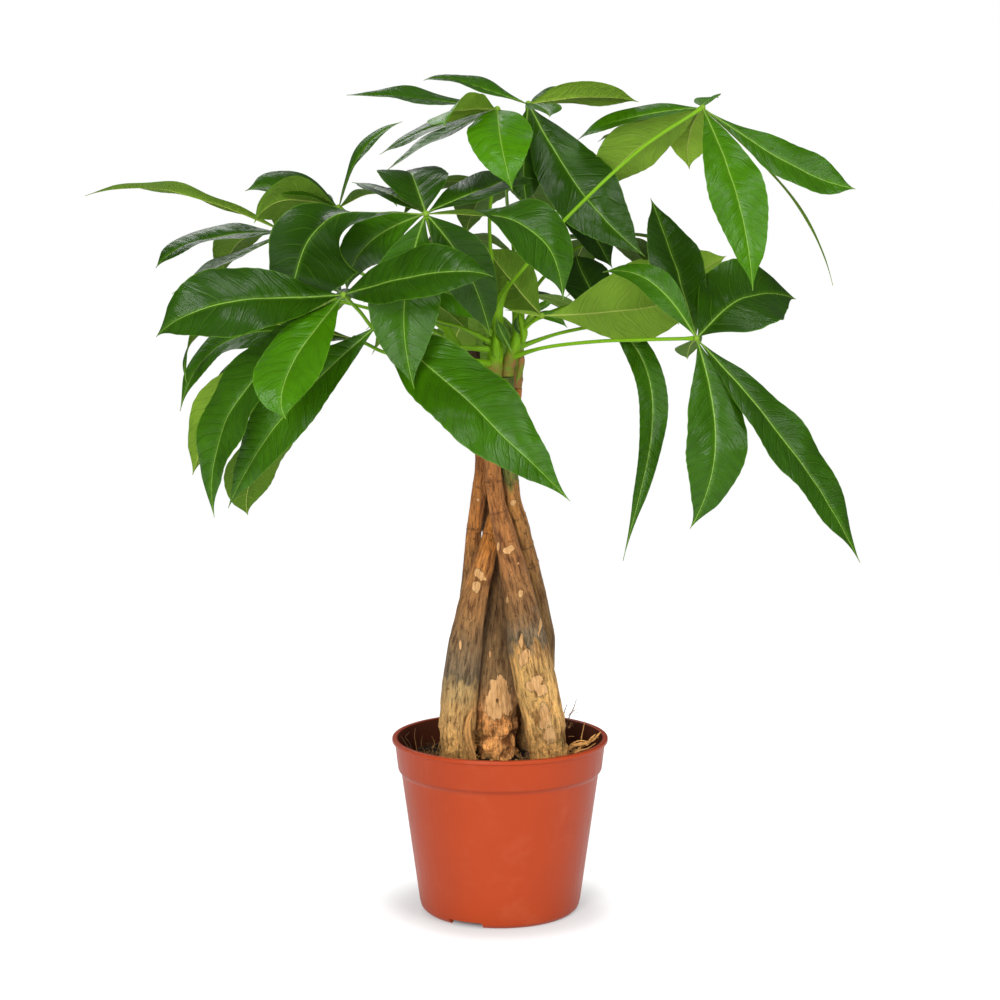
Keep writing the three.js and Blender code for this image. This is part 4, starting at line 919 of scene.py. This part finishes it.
# A trunk: a tube along its stations. Its radius swells at the leaf-scar rings and wanders in long flutes; on
# top come upright fibres, dry plates and lumps that grow towards the foot, cracks where a cloud passes
# through nothing, small pits, and a dip inside each scar.
def trunkPart(trunk, seed):
    rows, sides = bark["rows"], bark["sides"]
    line, radii = smoothTube(trunk["stations"], rows)
    height = line[:, 2:3]
    turn = turns(sides)[None]
    length = travelled(line)[:, None]
    around, deep = radii[:, None] * np.cos(turn), radii[:, None] * np.sin(turn)
    foot = np.clip(1 - (height - bark["footLow"]) / bark["footReach"], 0, 1)
    rugged = trunk.get("rugged", bark["rugged"])
    swell = sum(bark["ringSwell"] * np.exp(-((height - ring) / 1.1) ** 2) for ring in trunk["rings"])
    flutes = (0.018 * np.sin(5 * turn + height / 31 + seed)
              + 0.022 * ripple(height / 14, 2 * np.cos(turn) + 3 * np.sin(turn), seed))
    fibres, wrinkles, plates, lumps, knobs, dots = (
        cloud(around / wide, deep / wide, length / tall, seed + step) for wide, tall, step in bark["clouds"])
    flakes = np.tanh(3 * plates)
    split = cloud(around / 8 + lumps, deep / 8, length / 5 + 0.6 * lumps, seed + 40)
    cracks = np.clip(1.3 - np.abs(split) / 0.07, 0, 1) * np.clip(3 * foot - 1, 0, 1) * rugged
    pits = np.clip((dots - 0.62) * 6, 0, 1)
    ringDark = sum(np.exp(-((height - ring + 1.4) / 0.7) ** 2) for ring in trunk["rings"]) * (wrinkles > -0.2)
    radius = radii[:, None] * (1 + swell + flutes)
    fibreRelief, flakeRelief = (bark[name][0] + bark[name][1] * foot for name in ("fibres", "flakes"))
    radius = radius + fibreRelief * fibres + bark["wrinkles"] * wrinkles + flakeRelief * flakes
    radius = radius + rugged * foot ** 1.3 * (bark["lumps"] * lumps + bark["knobs"] * knobs)
    radius = radius - bark["cracks"] * cracks - bark["pits"] * pits
    x = line[:, 0:1] + radius * np.cos(turn)
    scar = np.zeros((rows, sides))
    for spotX, spotZ, wide, tall, lean, side in trunk["scars"]:
        cosine, sine = math.cos(math.radians(lean)), math.sin(math.radians(lean))
        dx, dz = x - spotX, height - spotZ
        inside = 1 - np.hypot((dx * cosine + dz * sine) / wide, (dz * cosine - dx * sine) / tall)
        facing = np.sin(turn) * side > 0.1  # the circle starts at +X and its upward half faces the back
        scar = np.maximum(scar, np.where(facing, 0.5 + 0.75 * inside + 0.13 * flakes + 0.1 * wrinkles, 0))
    radius = radius - bark["scars"] * np.clip((scar - 0.45) * 6, 0, 1)
    heights, colours = zip(*trunk["bands"])
    wander = height + 4 * lumps + 2.5 * flakes + 4 * fibres
    tint = np.stack([np.interp(wander, heights, channel) for channel in zip(*colours)], axis=-1)
    straight = np.stack([around, deep, length + 0 * turn + 100 * seed], axis=-1) * mm
    # relief follows the surface's bumps; the finish paints shade where it is low and light where it is high.
    relief = 0.7 * fibres + 0.5 * wrinkles + 0.6 * foot * flakes + rugged * foot * (1.4 * lumps + 1.1 * knobs)
    crack = np.clip(0.45 * cracks + 0.6 * pits + 0.6 * ringDark, 0, 1) * (scar < 0.45)
    numbers = {"scar": np.clip(scar, 0, 1), "foot": foot, "relief": relief, "crack": crack, "tint": tint,
               "straight": straight}
    return tubePart(line, radius, sides, numbers, xAxis)


for index, (name, trunk) in enumerate(trunks.items()):
    part = trunkPart(trunk, firstSeed["trunks"] + index)
    addPiece("stem_" + name, part, barkBrown, ["trunk_" + name])
print("trunks made")


pot = {"height": 139, "wall": 1.8, "footRadius": 60, "bodyLow": 64, "bodyHigh": 78.4, "bandHeight": 25,
       "bandStep": 2.6, "bandSlope": 3.5, "bandHigh": 83.4, "lipRadius": 85.6, "lipHeight": 3,
       "disc": 38, "channel": 4, "channelOuter": 57, "notchHeight": 4.5, "notchWidth": 27, "firstNotch": -116,
       "colour": (0.335, 0.037, 0.004), "deep": (0.28, 0.030, 0.004), "dust": (0.60, 0.20, 0.10),
       # The inner wall's dark colour and the thin dark line under the band are painted shade.
       "insideShade": (0.045, 0.016, 0.008), "creaseShade": (0.20, 0.020, 0.003),
       "roughness": (0.36, 0.46), "specular": 0.22, "relief": 0.0004, "bump": 0.35}


# Pot plastic: one warm orange with faint clouds, fine upright drag lines and a little dust, and painted
# shade:
# the inside darkens from just past the rim, and a thin dark line lies under the band.
def potFinish(look):
    finish = Finish("potPlastic")
    place = finish.objectPlace()
    clouds = finish.noise(place, 14, 3)
    drag = finish.noise(finish.surfacePlace((60, 1.2, 1)), 2.0, 4)
    specks = finish.noise(place, 700, 3, 0.7)
    dust = finish.times(finish.span(finish.noise(place, 45, 6), 0.5, 0.75), 0.06)
    # Painted shade: the inside of the pot darkens from just past the rim.
    insideShadeShare = finish.plus(finish.number("inside"), finish.times(clouds, 0.3))
    colour = finish.layers(
        look["colour"],
        (finish.span(clouds, 0.3, 0.7, 0, 0.35), look["deep"]),
        (dust, look["dust"]),
        (finish.span(insideShadeShare, 0.2, 0.8, 0, 0.9), look["insideShade"]),
        # painted shade: a thin dark line under the band
        (finish.times(finish.number("crease"), 0.6), look["creaseShade"]))
    rough = finish.plus(finish.span(drag, 0.25, 0.75, *look["roughness"]), finish.times(dust, 0.8))
    height = finish.plus(finish.times(drag, 0.6), finish.times(specks, 0.25))
    finish.bump(height, look["relief"], look["bump"])
    finish.set(Base_Color=colour, Roughness=rough, Specular_IOR_Level=look["specular"])
    return finish.material


potPlastic = potFinish(pot)


# A corner of a profile, rounded off by a short bend from a to b: (1-t)^2 a + 2t(1-t) corner + t^2 b.
def roundedCorner(before, corner, after, radius, steps=4):
    before, corner, after = (np.array(point, float) for point in (before, corner, after))
    a, b = corner + radius * unit(before - corner), corner + radius * unit(after - corner)
    t = np.linspace(0, 1, steps)[:, None]
    return (1 - t) ** 2 * a + 2 * t * (1 - t) * corner + t ** 2 * b


# The pot: a profile of radius and height turned round the axis, closed at both poles by small caps. Between
# the edges of a notch, whatever of the foot ring is lower than the notch is lifted to its height.
def potPart(pot):
    bandFoot, floorTop, wall = pot["height"] - pot["bandHeight"], pot["channel"] + pot["wall"], pot["wall"]
    bandLow = pot["bodyHigh"] + pot["bandStep"]
    corners = [
        ([0.4, 0], 0), ([pot["disc"], 0], 0.5), ([pot["disc"] + 2, pot["channel"]], 0.5),
        ([pot["channelOuter"], pot["channel"]], 0.4), ([pot["channelOuter"] + 1, 0], 0.3),
        ([pot["footRadius"], 0], 0.8), ([pot["bodyLow"] - 0.7, 3.0], 1.6), ([pot["bodyLow"], 6.6], 0.5),
        ([pot["bodyLow"] + 0.28, 7.2], 0.25), ([pot["bodyHigh"], bandFoot - pot["bandSlope"]], 0.9),
        ([bandLow, bandFoot], 1.1), ([pot["bandHigh"], pot["height"] - pot["lipHeight"] - 1], 0.5),
        ([pot["lipRadius"], pot["height"] - pot["lipHeight"]], 0.5), ([pot["lipRadius"], pot["height"]], 0.9),
        ([pot["bandHigh"] - wall, pot["height"]], 0.8), ([bandLow - wall, bandFoot + 1], 0.8),
        ([pot["bodyHigh"] - wall, bandFoot + 1 - pot["bandSlope"]], 0.8),
        ([pot["bodyLow"] - wall, floorTop + 1.8], 1.4), ([pot["footRadius"], floorTop], 0.6),
        ([pot["disc"], floorTop], 0.4), ([pot["disc"] - 2, wall], 0.4), ([0.4, wall], 0)]
    places = [place for place, _ in corners]
    profile = [np.array([places[0]], float)]
    for k in range(1, len(corners) - 1):
        profile.append(roundedCorner(places[k - 1], places[k], places[k + 1], corners[k][1]))
    profile = np.concatenate(profile + [np.array([places[-1]], float)])
    radius, z = profile[:, 0:1], profile[:, 1:2]
    halfNotch = math.degrees(math.asin(pot["notchWidth"] / 2 / (pot["channelOuter"] + 2)))
    middles = pot["firstNotch"] + 120 * np.arange(3)
    edges = np.concatenate([middles - halfNotch - 0.15, middles - halfNotch, middles + halfNotch,
                            middles + halfNotch + 0.15])
    even = np.arange(192) * 360 / 192
    nearest = np.abs((even[:, None] - edges[None] + 180) % 360 - 180).min(axis=1)
    turn = np.sort(np.concatenate([even[nearest > 0.6], edges % 360]))
    if len(turn) % 2:
        turn = np.delete(turn, 1)
    away = np.abs((turn[:, None] - middles[None] + 180) % 360 - 180).min(axis=1)[None]
    outside = np.arange(len(z))[:, None] < len(z) // 2
    onFootRing = (radius > pot["channelOuter"] - 0.6) & (z < pot["notchHeight"])
    low = (away <= halfNotch + 0.01) & onFootRing & outside
    height = np.where(low, pot["notchHeight"], z + 0 * away)
    angle = np.radians(turn)[None]
    wobble = 1 + 0.0011 * np.sin(2 * angle + 0.7) * np.clip(z / pot["height"], 0, 1) ** 3 * (radius > 62)
    points = np.stack([radius * wobble * np.cos(angle), radius * wobble * np.sin(angle), height], axis=-1)
    sides = len(turn)
    quads, uv = gridCells(len(z), sides, closed=True)
    path = travelled(profile)
    rowOf = np.rint(uv[..., 1] * (len(z) - 1)).astype(int)
    uv = np.stack([uv[..., 0], path[rowOf] / 100], axis=-1)
    past = path[:, None] - path[int(np.argmax(z))]
    # Painted shade: inside darkens the wall and floor from just past the rim inwards.
    inside = np.clip((past - 2.2) / 2.5, 0, 1)
    # Painted shade: crease is a thin dark line on the outside just under the band.
    crease = np.exp(-((z - bandFoot + 0.6) / 1.3) ** 2) * (past < 0)
    return gridPart(points, *closeEnds(quads, uv, len(z), sides), {"inside": inside, "crease": crease})


addPiece("nursery_pot", potPart(pot), potPlastic, ["pot"], sharpDegrees=38)
print("pot made")


# gap lies between soil and wall, edge is where the wall stands at the top, crumbReach how far out crumbs and
# roots may lie, all in mm.
soil = {"level": 121, "mound": 4, "lumps": 1.4, "rings": 60, "sides": 200, "crumbs": 1100,
        "gap": 0.8, "foot": 6.2, "edge": 73, "crumbReach": 71,
        "dark": (0.006, 0.004, 0.002), "brown": (0.028, 0.014, 0.006), "chip": (0.10, 0.05, 0.02),
        "root": (0.66, 0.33, 0.095), "roughness": (0.8, 1.0), "specular": 0.25,
        "crumbRoughness": (0.75, 0.95), "crumbSpecular": 0.3}


# Soil: nearly black brown crumbs with scattered lighter bits, rough and dull.
def soilFinish(look):
    finish = Finish("pottingSoil")
    place = finish.objectPlace()
    grain, coarse = finish.noise(place, 330, 8, 0.7), finish.noise(place, 90, 5)
    bits = finish.cells(place, 260.0)
    colour = finish.layers(look["dark"], (finish.span(grain, 0.35, 0.7), look["brown"]),
                           (finish.times(finish.span(bits, 0.16, 0.06), 0.5), look["chip"]))
    finish.bump(finish.plus(grain, coarse), 0.003, 0.9)
    rough = finish.span(grain, 0.2, 0.8, *look["roughness"])
    finish.set(Base_Color=colour, Roughness=rough, Specular_IOR_Level=look["specular"])
    return finish.material


# Crumb: each crumb has its own shade, from black peat to brown bark and pale fibre.
def crumbFinish(look):
    finish = Finish("barkCrumb")
    shade = finish.number("shade")
    grain = finish.noise(finish.objectPlace(), 500, 5)
    colour = finish.layers(look["dark"], (finish.span(shade, 0.0, 0.8), look["chip"]),
                           (finish.span(shade, 0.65, 1.0), look["root"]),
                           (finish.times(finish.span(grain, 0.5, 0.7), 0.4), look["dark"]))
    finish.bump(grain, 0.001, 0.7)
    rough = finish.span(grain, 0.2, 0.8, *look["crumbRoughness"])
    finish.set(Base_Color=colour, Roughness=rough, Specular_IOR_Level=look["crumbSpecular"])
    return finish.material


pottingSoil, barkCrumb = soilFinish(soil), crumbFinish(soil)


# Height of the soil: a gentle mound, two crossing waves and small lumps that fade at the wall.
def soilHeight(x, y, share):
    uneven = np.sin(x / 7 + 1.3) * np.cos(y / 9 - 0.4) + 0.5 * np.sin((x + y) / 4)
    lumps = 1.1 * ripple(x / 2.2, y / 2.2, 5, 10, 1, 3) + 0.7 * ripple(x, y, 6, 12, 1, 3)
    return (soil["level"] - soil["mound"] / 2 + soil["mound"] * (1 - share ** 2)
            + (soil["lumps"] * uneven + lumps) * (1 - share ** 6))


# The soil's outer radius at a height: the pot's body less its wall and a small gap.
def soilRadius(z):
    bodyFoot = 6.8  # where the pot's slope begins
    bodyRise = pot["height"] - pot["bandHeight"] - pot["bandSlope"] - bodyFoot
    slope = (pot["bodyHigh"] - pot["bodyLow"]) / bodyRise
    return pot["bodyLow"] + slope * (z - bodyFoot) - (pot["wall"] + soil["gap"])


# Soil body: a profile from the middle of the top out to the wall and down to the floor, turned round the
# axis, with the top ring heights from soilHeight.
def soilPart():
    top = np.linspace(0.006, 1, soil["rings"])[:, None]
    edge = soilRadius(soil["level"] - 2)
    turn = turns(soil["sides"])[None]
    x, y = edge * top * np.cos(turn), edge * top * np.sin(turn)
    surface = np.stack([x, y, soilHeight(x, y, top + 0 * turn)], axis=-1)
    lower = np.array([[soilRadius(90), 90], [soilRadius(12), 12], [soilRadius(9.8) - 0.3, 9.8],
                      [57.5, soil["foot"]], [0.4, soil["foot"]]])
    radius, height = lower[:, 0:1], lower[:, 1:2]
    below = np.stack([radius * np.cos(turn), radius * np.sin(turn), height + 0 * turn], axis=-1)
    points = np.concatenate([surface, below])
    quads, uv = gridCells(len(points), soil["sides"], closed=True)
    return gridPart(points, *closeEnds(quads, uv, len(points), soil["sides"], fromTop=True), {})


# Crumbs: one uneven block, copied, squashed, turned and laid on the soil in one array.
def crumbsPart(count, seed):
    chance = np.random.default_rng(seed)
    block = np.array([[x, y, z] for z in (-1, 1) for y in (-1, 1) for x in (-1, 1)], float)
    faces = np.array([[0, 2, 3, 1], [4, 5, 7, 6], [0, 1, 5, 4], [2, 6, 7, 3], [0, 4, 6, 2], [1, 3, 7, 5]])
    radius = soil["crumbReach"] * np.sqrt(chance.uniform(0.01, 1, count))
    angle = chance.uniform(0, 2 * np.pi, count)
    x, y = radius * np.cos(angle), radius * np.sin(angle)
    size = chance.uniform(0.35, 1.0, (count, 3)) * (chance.uniform(0.5, 1, count) ** 2 * 2.1)[:, None]
    turn, _ = np.linalg.qr(chance.normal(size=(count, 3, 3)))
    turn[np.linalg.det(turn) < 0, :, 0] *= -1
    shape = (block[None] * size[:, None] * chance.uniform(0.7, 1.2, (count, 8, 1))) @ turn
    centre = np.stack([x, y, soilHeight(x, y, radius / soil["edge"]) + 0.3 * size.min(axis=1)], axis=-1)
    points = shape + centre[:, None]
    quads = faces[None] + 8 * np.arange(count)[:, None, None]
    square = np.array([[0, 0], [1, 0], [1, 1], [0, 1]], float)
    uv = np.broadcast_to(square, (count * len(faces), 4, 2))
    numbers = {"shade": np.repeat(chance.uniform(0, 1, count) ** 1.6, len(block))}
    return {"points": points.reshape(-1, 3), "quads": quads.reshape(-1, 4), "uv": uv, "numbers": numbers}


rootForm = {"points": 26, "sides": 8, "fibrePoints": 14, "fibreSides": 6, "rootCurl": 0.9, "hairCurl": 0.6}


# A root or fibre: a thin tube that wanders from its start; its heading and climb turn by seeded slow waves.
def fibrePart(start, heading, climb, length, thick, curl, shade, seed):
    chance = np.random.default_rng(seed)
    count = rootForm["fibrePoints"]
    t = np.linspace(0, 1, count)
    phases = chance.uniform(0, 6, 4)
    turned = heading + curl * (np.sin(3.1 * t + phases[0]) + 0.5 * np.sin(7.3 * t + phases[1]))
    rising = climb * (1 - 1.3 * t) + 0.4 * curl * np.sin(5.2 * t + phases[2])
    level = np.cos(rising)
    steps = np.stack([np.cos(turned) * level, np.sin(turned) * level, np.sin(rising)], axis=1)
    line = np.array(start, float) + np.cumsum(steps, axis=0) * length / count
    knots = 1 + 0.25 * np.sin(9 * t + phases[3])
    radius = thick * (1 - 0.75 * t) * knots
    given = {"shade": np.full(count, shade)}
    return tubePart(line, radius, rootForm["fibreSides"], given, np.array([0.3, 0.2, 1.0]))


# Where roots stand in the soil. Each row is a clump: how many, the middle, how far they spread, how steeply
# they climb in radians, their length, their thickness and their shade.
rootClumps = [
    (34, (64, 2), 7, 0.75, 17, 0.62, 0.95),  # right
    (7, (70, 4), 3.5, 0.7, 15, 1.3, 0.98),  # right, thick ones
    (30, (-62, -6), 9, 1.15, 17, 0.42, 0.72),  # left
    (14, (-58, 30), 9, 0.9, 15, 0.4, 0.7),  # left, at the back
    (12, (18, -22), 5, 0.8, 11, 0.4, 0.85),  # between the front trunks
    (26, (2, 60), 14, 0.7, 17, 0.5, 0.85),  # back
    (12, (-14, -56), 12, 0.5, 12, 0.4, 0.75),  # front
]

# Hairs on the trunks. Each row is a group: how many, the trunk's axis and radius there, the range of turns
# in radians, the range of heights, and the hairs' climb, length and shade.
trunkHairs = [
    (22, (-4, 1), 15, (3.0, 4.3), (128, 176), -1.2, 13, 0.9),
    (14, (39, -15), 15, (3.2, 4.6), (122, 152), -0.9, 7, 0.92),
    (7, (40, -16), 15, (-0.5, 0.5), (134, 160), 0.9, 14, 0.8),
    (10, (-34, -12), 13.5, (5.4, 6.4), (122, 150), -0.8, 9, 0.85),
    (16, (30, 31), 13, (0.2, 2.8), (122, 156), -0.7, 10, 0.85),
]

# Single roots in plain sight: stations of x, y, z and radius, then the shade.
plainRoots = [
    ([[-67, 8, 121, 0.34], [-66.9, 9, 127, 0.3], [-68.3, 8, 137, 0.26], [-67.5, 6, 143.5, 0.15]], 0.76),
    ([[-58, 4, 120, 0.34], [-60.2, 6, 125, 0.32], [-63, 8, 130, 0.28], [-61.8, 10, 138, 0.15]], 0.72),
    ([[-54, 4, 120, 0.34], [-54, 8, 125, 0.34], [-52.4, 9, 131, 0.28], [-54.5, 8, 137, 0.16]], 0.78),
    ([[-66, 2, 121, 0.42], [-70.4, 6, 125, 0.38], [-75, 9, 130, 0.34], [-79.5, 10, 137, 0.2]], 0.66),
    ([[-70, 14, 121, 0.36], [-72.3, 12, 130, 0.3], [-75.5, 9, 136, 0.26], [-72, 8, 140.5, 0.15]], 0.7),
    ([[-47, 14, 120, 0.45], [-49, 15, 127, 0.4], [-47, 16, 133, 0.25]], 0.85),
    ([[54, 0, 146, 0.35], [50.6, 0, 153, 0.35], [51.2, -1, 159, 0.3], [53.4, 0, 165, 0.2]], 0.7),
    ([[50, -3, 140, 0.35], [55, 0, 154, 0.35], [58.4, 0, 161.5, 0.3], [60.8, 0, 169, 0.15]], 0.7),
    ([[52, 4, 122, 1.4], [56, 4, 128.5, 1.6], [61, 3, 131, 1.5], [69, 2, 132.5, 1.6], [75, 1, 136.5, 1.2],
      [80, 0, 142, 0.5]], 1.0),
    ([[60, 8, 124, 1.2], [67, 6, 130, 1.2], [74, 4, 135, 1.1], [78.5, 4, 137, 0.5]], 0.98),
    ([[69, 2, 131, 1.0], [73, -2, 138, 0.9], [76, -3, 141, 0.4]], 1.0),
    ([[64, 2, 128, 0.6], [65, 4, 137, 0.5], [66.4, 4, 144, 0.4], [67.6, 4, 150, 0.2]], 0.85),
    ([[50, 6, 124, 0.8], [57, 4, 131, 0.8], [63, 2, 134.5, 0.7], [72, 0, 134, 0.4]], 0.95),
    ([[55, -4, 122, 0.8], [62, -6, 128, 0.7], [70, -4, 130, 0.6], [76, -4, 134, 0.3]], 0.92),
]


# All roots and hairs in one part, each drawn from the same seeded chance.
def rootsPart(seed):
    chance = np.random.default_rng(seed)
    parts = []
    for stations, shade in plainRoots:
        line, radii = smoothTube(stations, rootForm["points"])
        knots = 1 + 0.22 * np.sin(np.arange(len(line)) * 1.7)
        given = {"shade": np.full(len(line), shade)}
        parts.append(tubePart(line, radii * knots, rootForm["sides"], given, np.array([0.3, 1.0, 0.2])))
    for many, middle, spread, climb, length, thick, shade in rootClumps:
        for _ in range(many):
            x, y = chance.normal(middle, spread)
            shrink = min(1, soil["crumbReach"] / math.hypot(x, y))
            x, y = x * shrink, y * shrink
            start = [x, y, float(soilHeight(x, y, math.hypot(x, y) / soil["edge"])) - 0.6]
            inward = math.atan2(-y, -x) + chance.normal(0, 1.1)
            parts.append(fibrePart(
                start, inward, climb * chance.uniform(0.5, 1.3), length * chance.uniform(0.6, 1.3),
                thick * chance.uniform(0.6, 1.1), rootForm["rootCurl"], shade + chance.uniform(-0.12, 0.03),
                int(chance.integers(9999))))
    for many, axis, radius, turnRange, heightRange, climb, length, shade in trunkHairs:
        for _ in range(many):
            turn, height = chance.uniform(*turnRange), chance.uniform(*heightRange)
            start = [axis[0] + radius * math.cos(turn), axis[1] + radius * math.sin(turn), height]
            parts.append(fibrePart(
                start, turn + chance.normal(0, 0.7), climb * chance.uniform(0.6, 1.3),
                length * chance.uniform(0.5, 1.2), chance.uniform(0.18, 0.42), rootForm["hairCurl"],
                shade + chance.uniform(-0.1, 0.05), int(chance.integers(9999))))
    return joinParts(parts)


# A dry scale left between two trunks: a flat tube along an arc, hollowed towards the viewer.
def dryScalePart():
    route = [[-21.5, -24, 166, 0.7], [-24.5, -28, 158, 2.2], [-25.2, -29, 149, 3.2], [-23.5, -29, 139, 3.0],
             [-20.5, -28, 130, 2.0], [-19, -27, 122, 1.0]]
    points, sides, thinness = 40, 20, 0.16
    line, radii = smoothTube(route, points)
    turn = turns(sides)[None]
    flat = np.hypot(thinness * np.cos(turn), np.sin(turn)) * (1 + 0.12 * np.sin(3 * turn))
    given = {"shade": np.full(points, 0.86)}
    return tubePart(line, radii[:, None] * flat, sides, given, np.array([0.5, 1.0, 0]))


addPiece("soil_body", soilPart(), pottingSoil, ["soil"])
addPiece("soil_crumbs", crumbsPart(soil["crumbs"], firstSeed["crumbs"]), barkCrumb)
addPiece("soil_roots", rootsPart(firstSeed["roots"]), barkCrumb)
addPiece("dry_scale", dryScalePart(), barkCrumb)
print("soil made")


# Lengths in metres, the pitch in radians. The floor glows less near the pot, which paints a faint shadow
# round its foot.
studio = {"floor": (0.33, 0.33, 0.33), "floorPale": (0.37, 0.37, 0.37), "floorReach": 1.6,
          "floorGlow": 0.44, "nearReach": (0.062, 0.115), "footGlow": 0.42, "footReach": (0.046, 0.066),
          "backdrop": 1.0, "surround": 0.17, "lens": 83.2, "camera": (0, -1.8, 0.558), "pitch": 0.127,
          "lampAim": (0, 0, 0.42)}

floorMesh = bpy.data.meshes.new("studioFloor")
reach = studio["floorReach"]
corners = [(-reach, -reach, 0), (reach, -reach, 0), (reach, reach, 0), (-reach, reach, 0)]
floorMesh.from_pydata(corners, [], [(0, 1, 2, 3)])
floor = newObject("studioFloor", floorMesh)
floorFinish = Finish("floorWhite")
paper = floorFinish.blend(floorFinish.noise(floorFinish.objectPlace(), 3, 2), studio["floor"],
                          studio["floorPale"])
away = floorFinish.add("ShaderNodeVectorMath", {0: floorFinish.objectPlace()}, "Value", operation="LENGTH")
# Painted shadow: the glow fades out towards the pot's foot.
glow = floorFinish.plus(floorFinish.span(away, *studio["nearReach"], 0, studio["floorGlow"]),
                        floorFinish.span(away, *studio["footReach"], 0, studio["footGlow"]))
floorFinish.set(Base_Color=paper, Roughness=0.9, Emission_Color=(1, 1, 1), Emission_Strength=glow)
floorMesh.materials.append(floorFinish.material)

# The backdrop is seen white, and lights the plant more softly than it looks.
world = bpy.data.worlds.new("studioWorld")
bpy.context.scene.world = world
world.use_nodes = True
seen = world.node_tree.nodes.new("ShaderNodeLightPath")
strength = world.node_tree.nodes.new("ShaderNodeMix")
strength.inputs["A"].default_value = studio["surround"]
strength.inputs["B"].default_value = studio["backdrop"]
world.node_tree.links.new(seen.outputs["Is Camera Ray"], strength.inputs["Factor"])
backdrop = world.node_tree.nodes["Background"]
backdrop.inputs["Color"].default_value = (1, 1, 1, 1)
world.node_tree.links.new(strength.outputs["Result"], backdrop.inputs["Strength"])

# Place and size in metres, power in watts.
softboxes = {
    "frontLeft": {"place": (-0.7, -2.3, 1.3), "size": 0.8, "power": 44},
    "frontLow": {"place": (-0.45, -1.9, 0.34), "size": 0.6, "power": 12},
    "frontRight": {"place": (1.3, -1.7, 1.2), "size": 0.7, "power": 20},
    "above": {"place": (0.65, -0.75, 2.05), "size": 0.55, "power": 13},
    "behind": {"place": (-0.7, 1.6, 1.7), "size": 0.9, "power": 13},
}
for name, box in softboxes.items():
    light = bpy.data.lights.new(name, "AREA")
    light.shape, light.size, light.energy = "SQUARE", box["size"], box["power"]
    lamp = newObject(name, light)
    lamp.location = box["place"]
    aim = np.array(studio["lampAim"]) - np.array(box["place"])
    lamp.rotation_euler = (math.atan2(math.hypot(aim[0], aim[1]), -aim[2]), 0, math.atan2(-aim[0], aim[1]))

cameraData = bpy.data.cameras.new("studioCamera")
cameraData.lens, cameraData.sensor_width = studio["lens"], 36
camera = newObject("studioCamera", cameraData)
camera.location = studio["camera"]
camera.rotation_euler = (math.pi / 2 - studio["pitch"], 0, 0)
bpy.context.scene.camera = camera
bpy.context.scene.view_settings.view_transform = "Standard"
print("studio made")
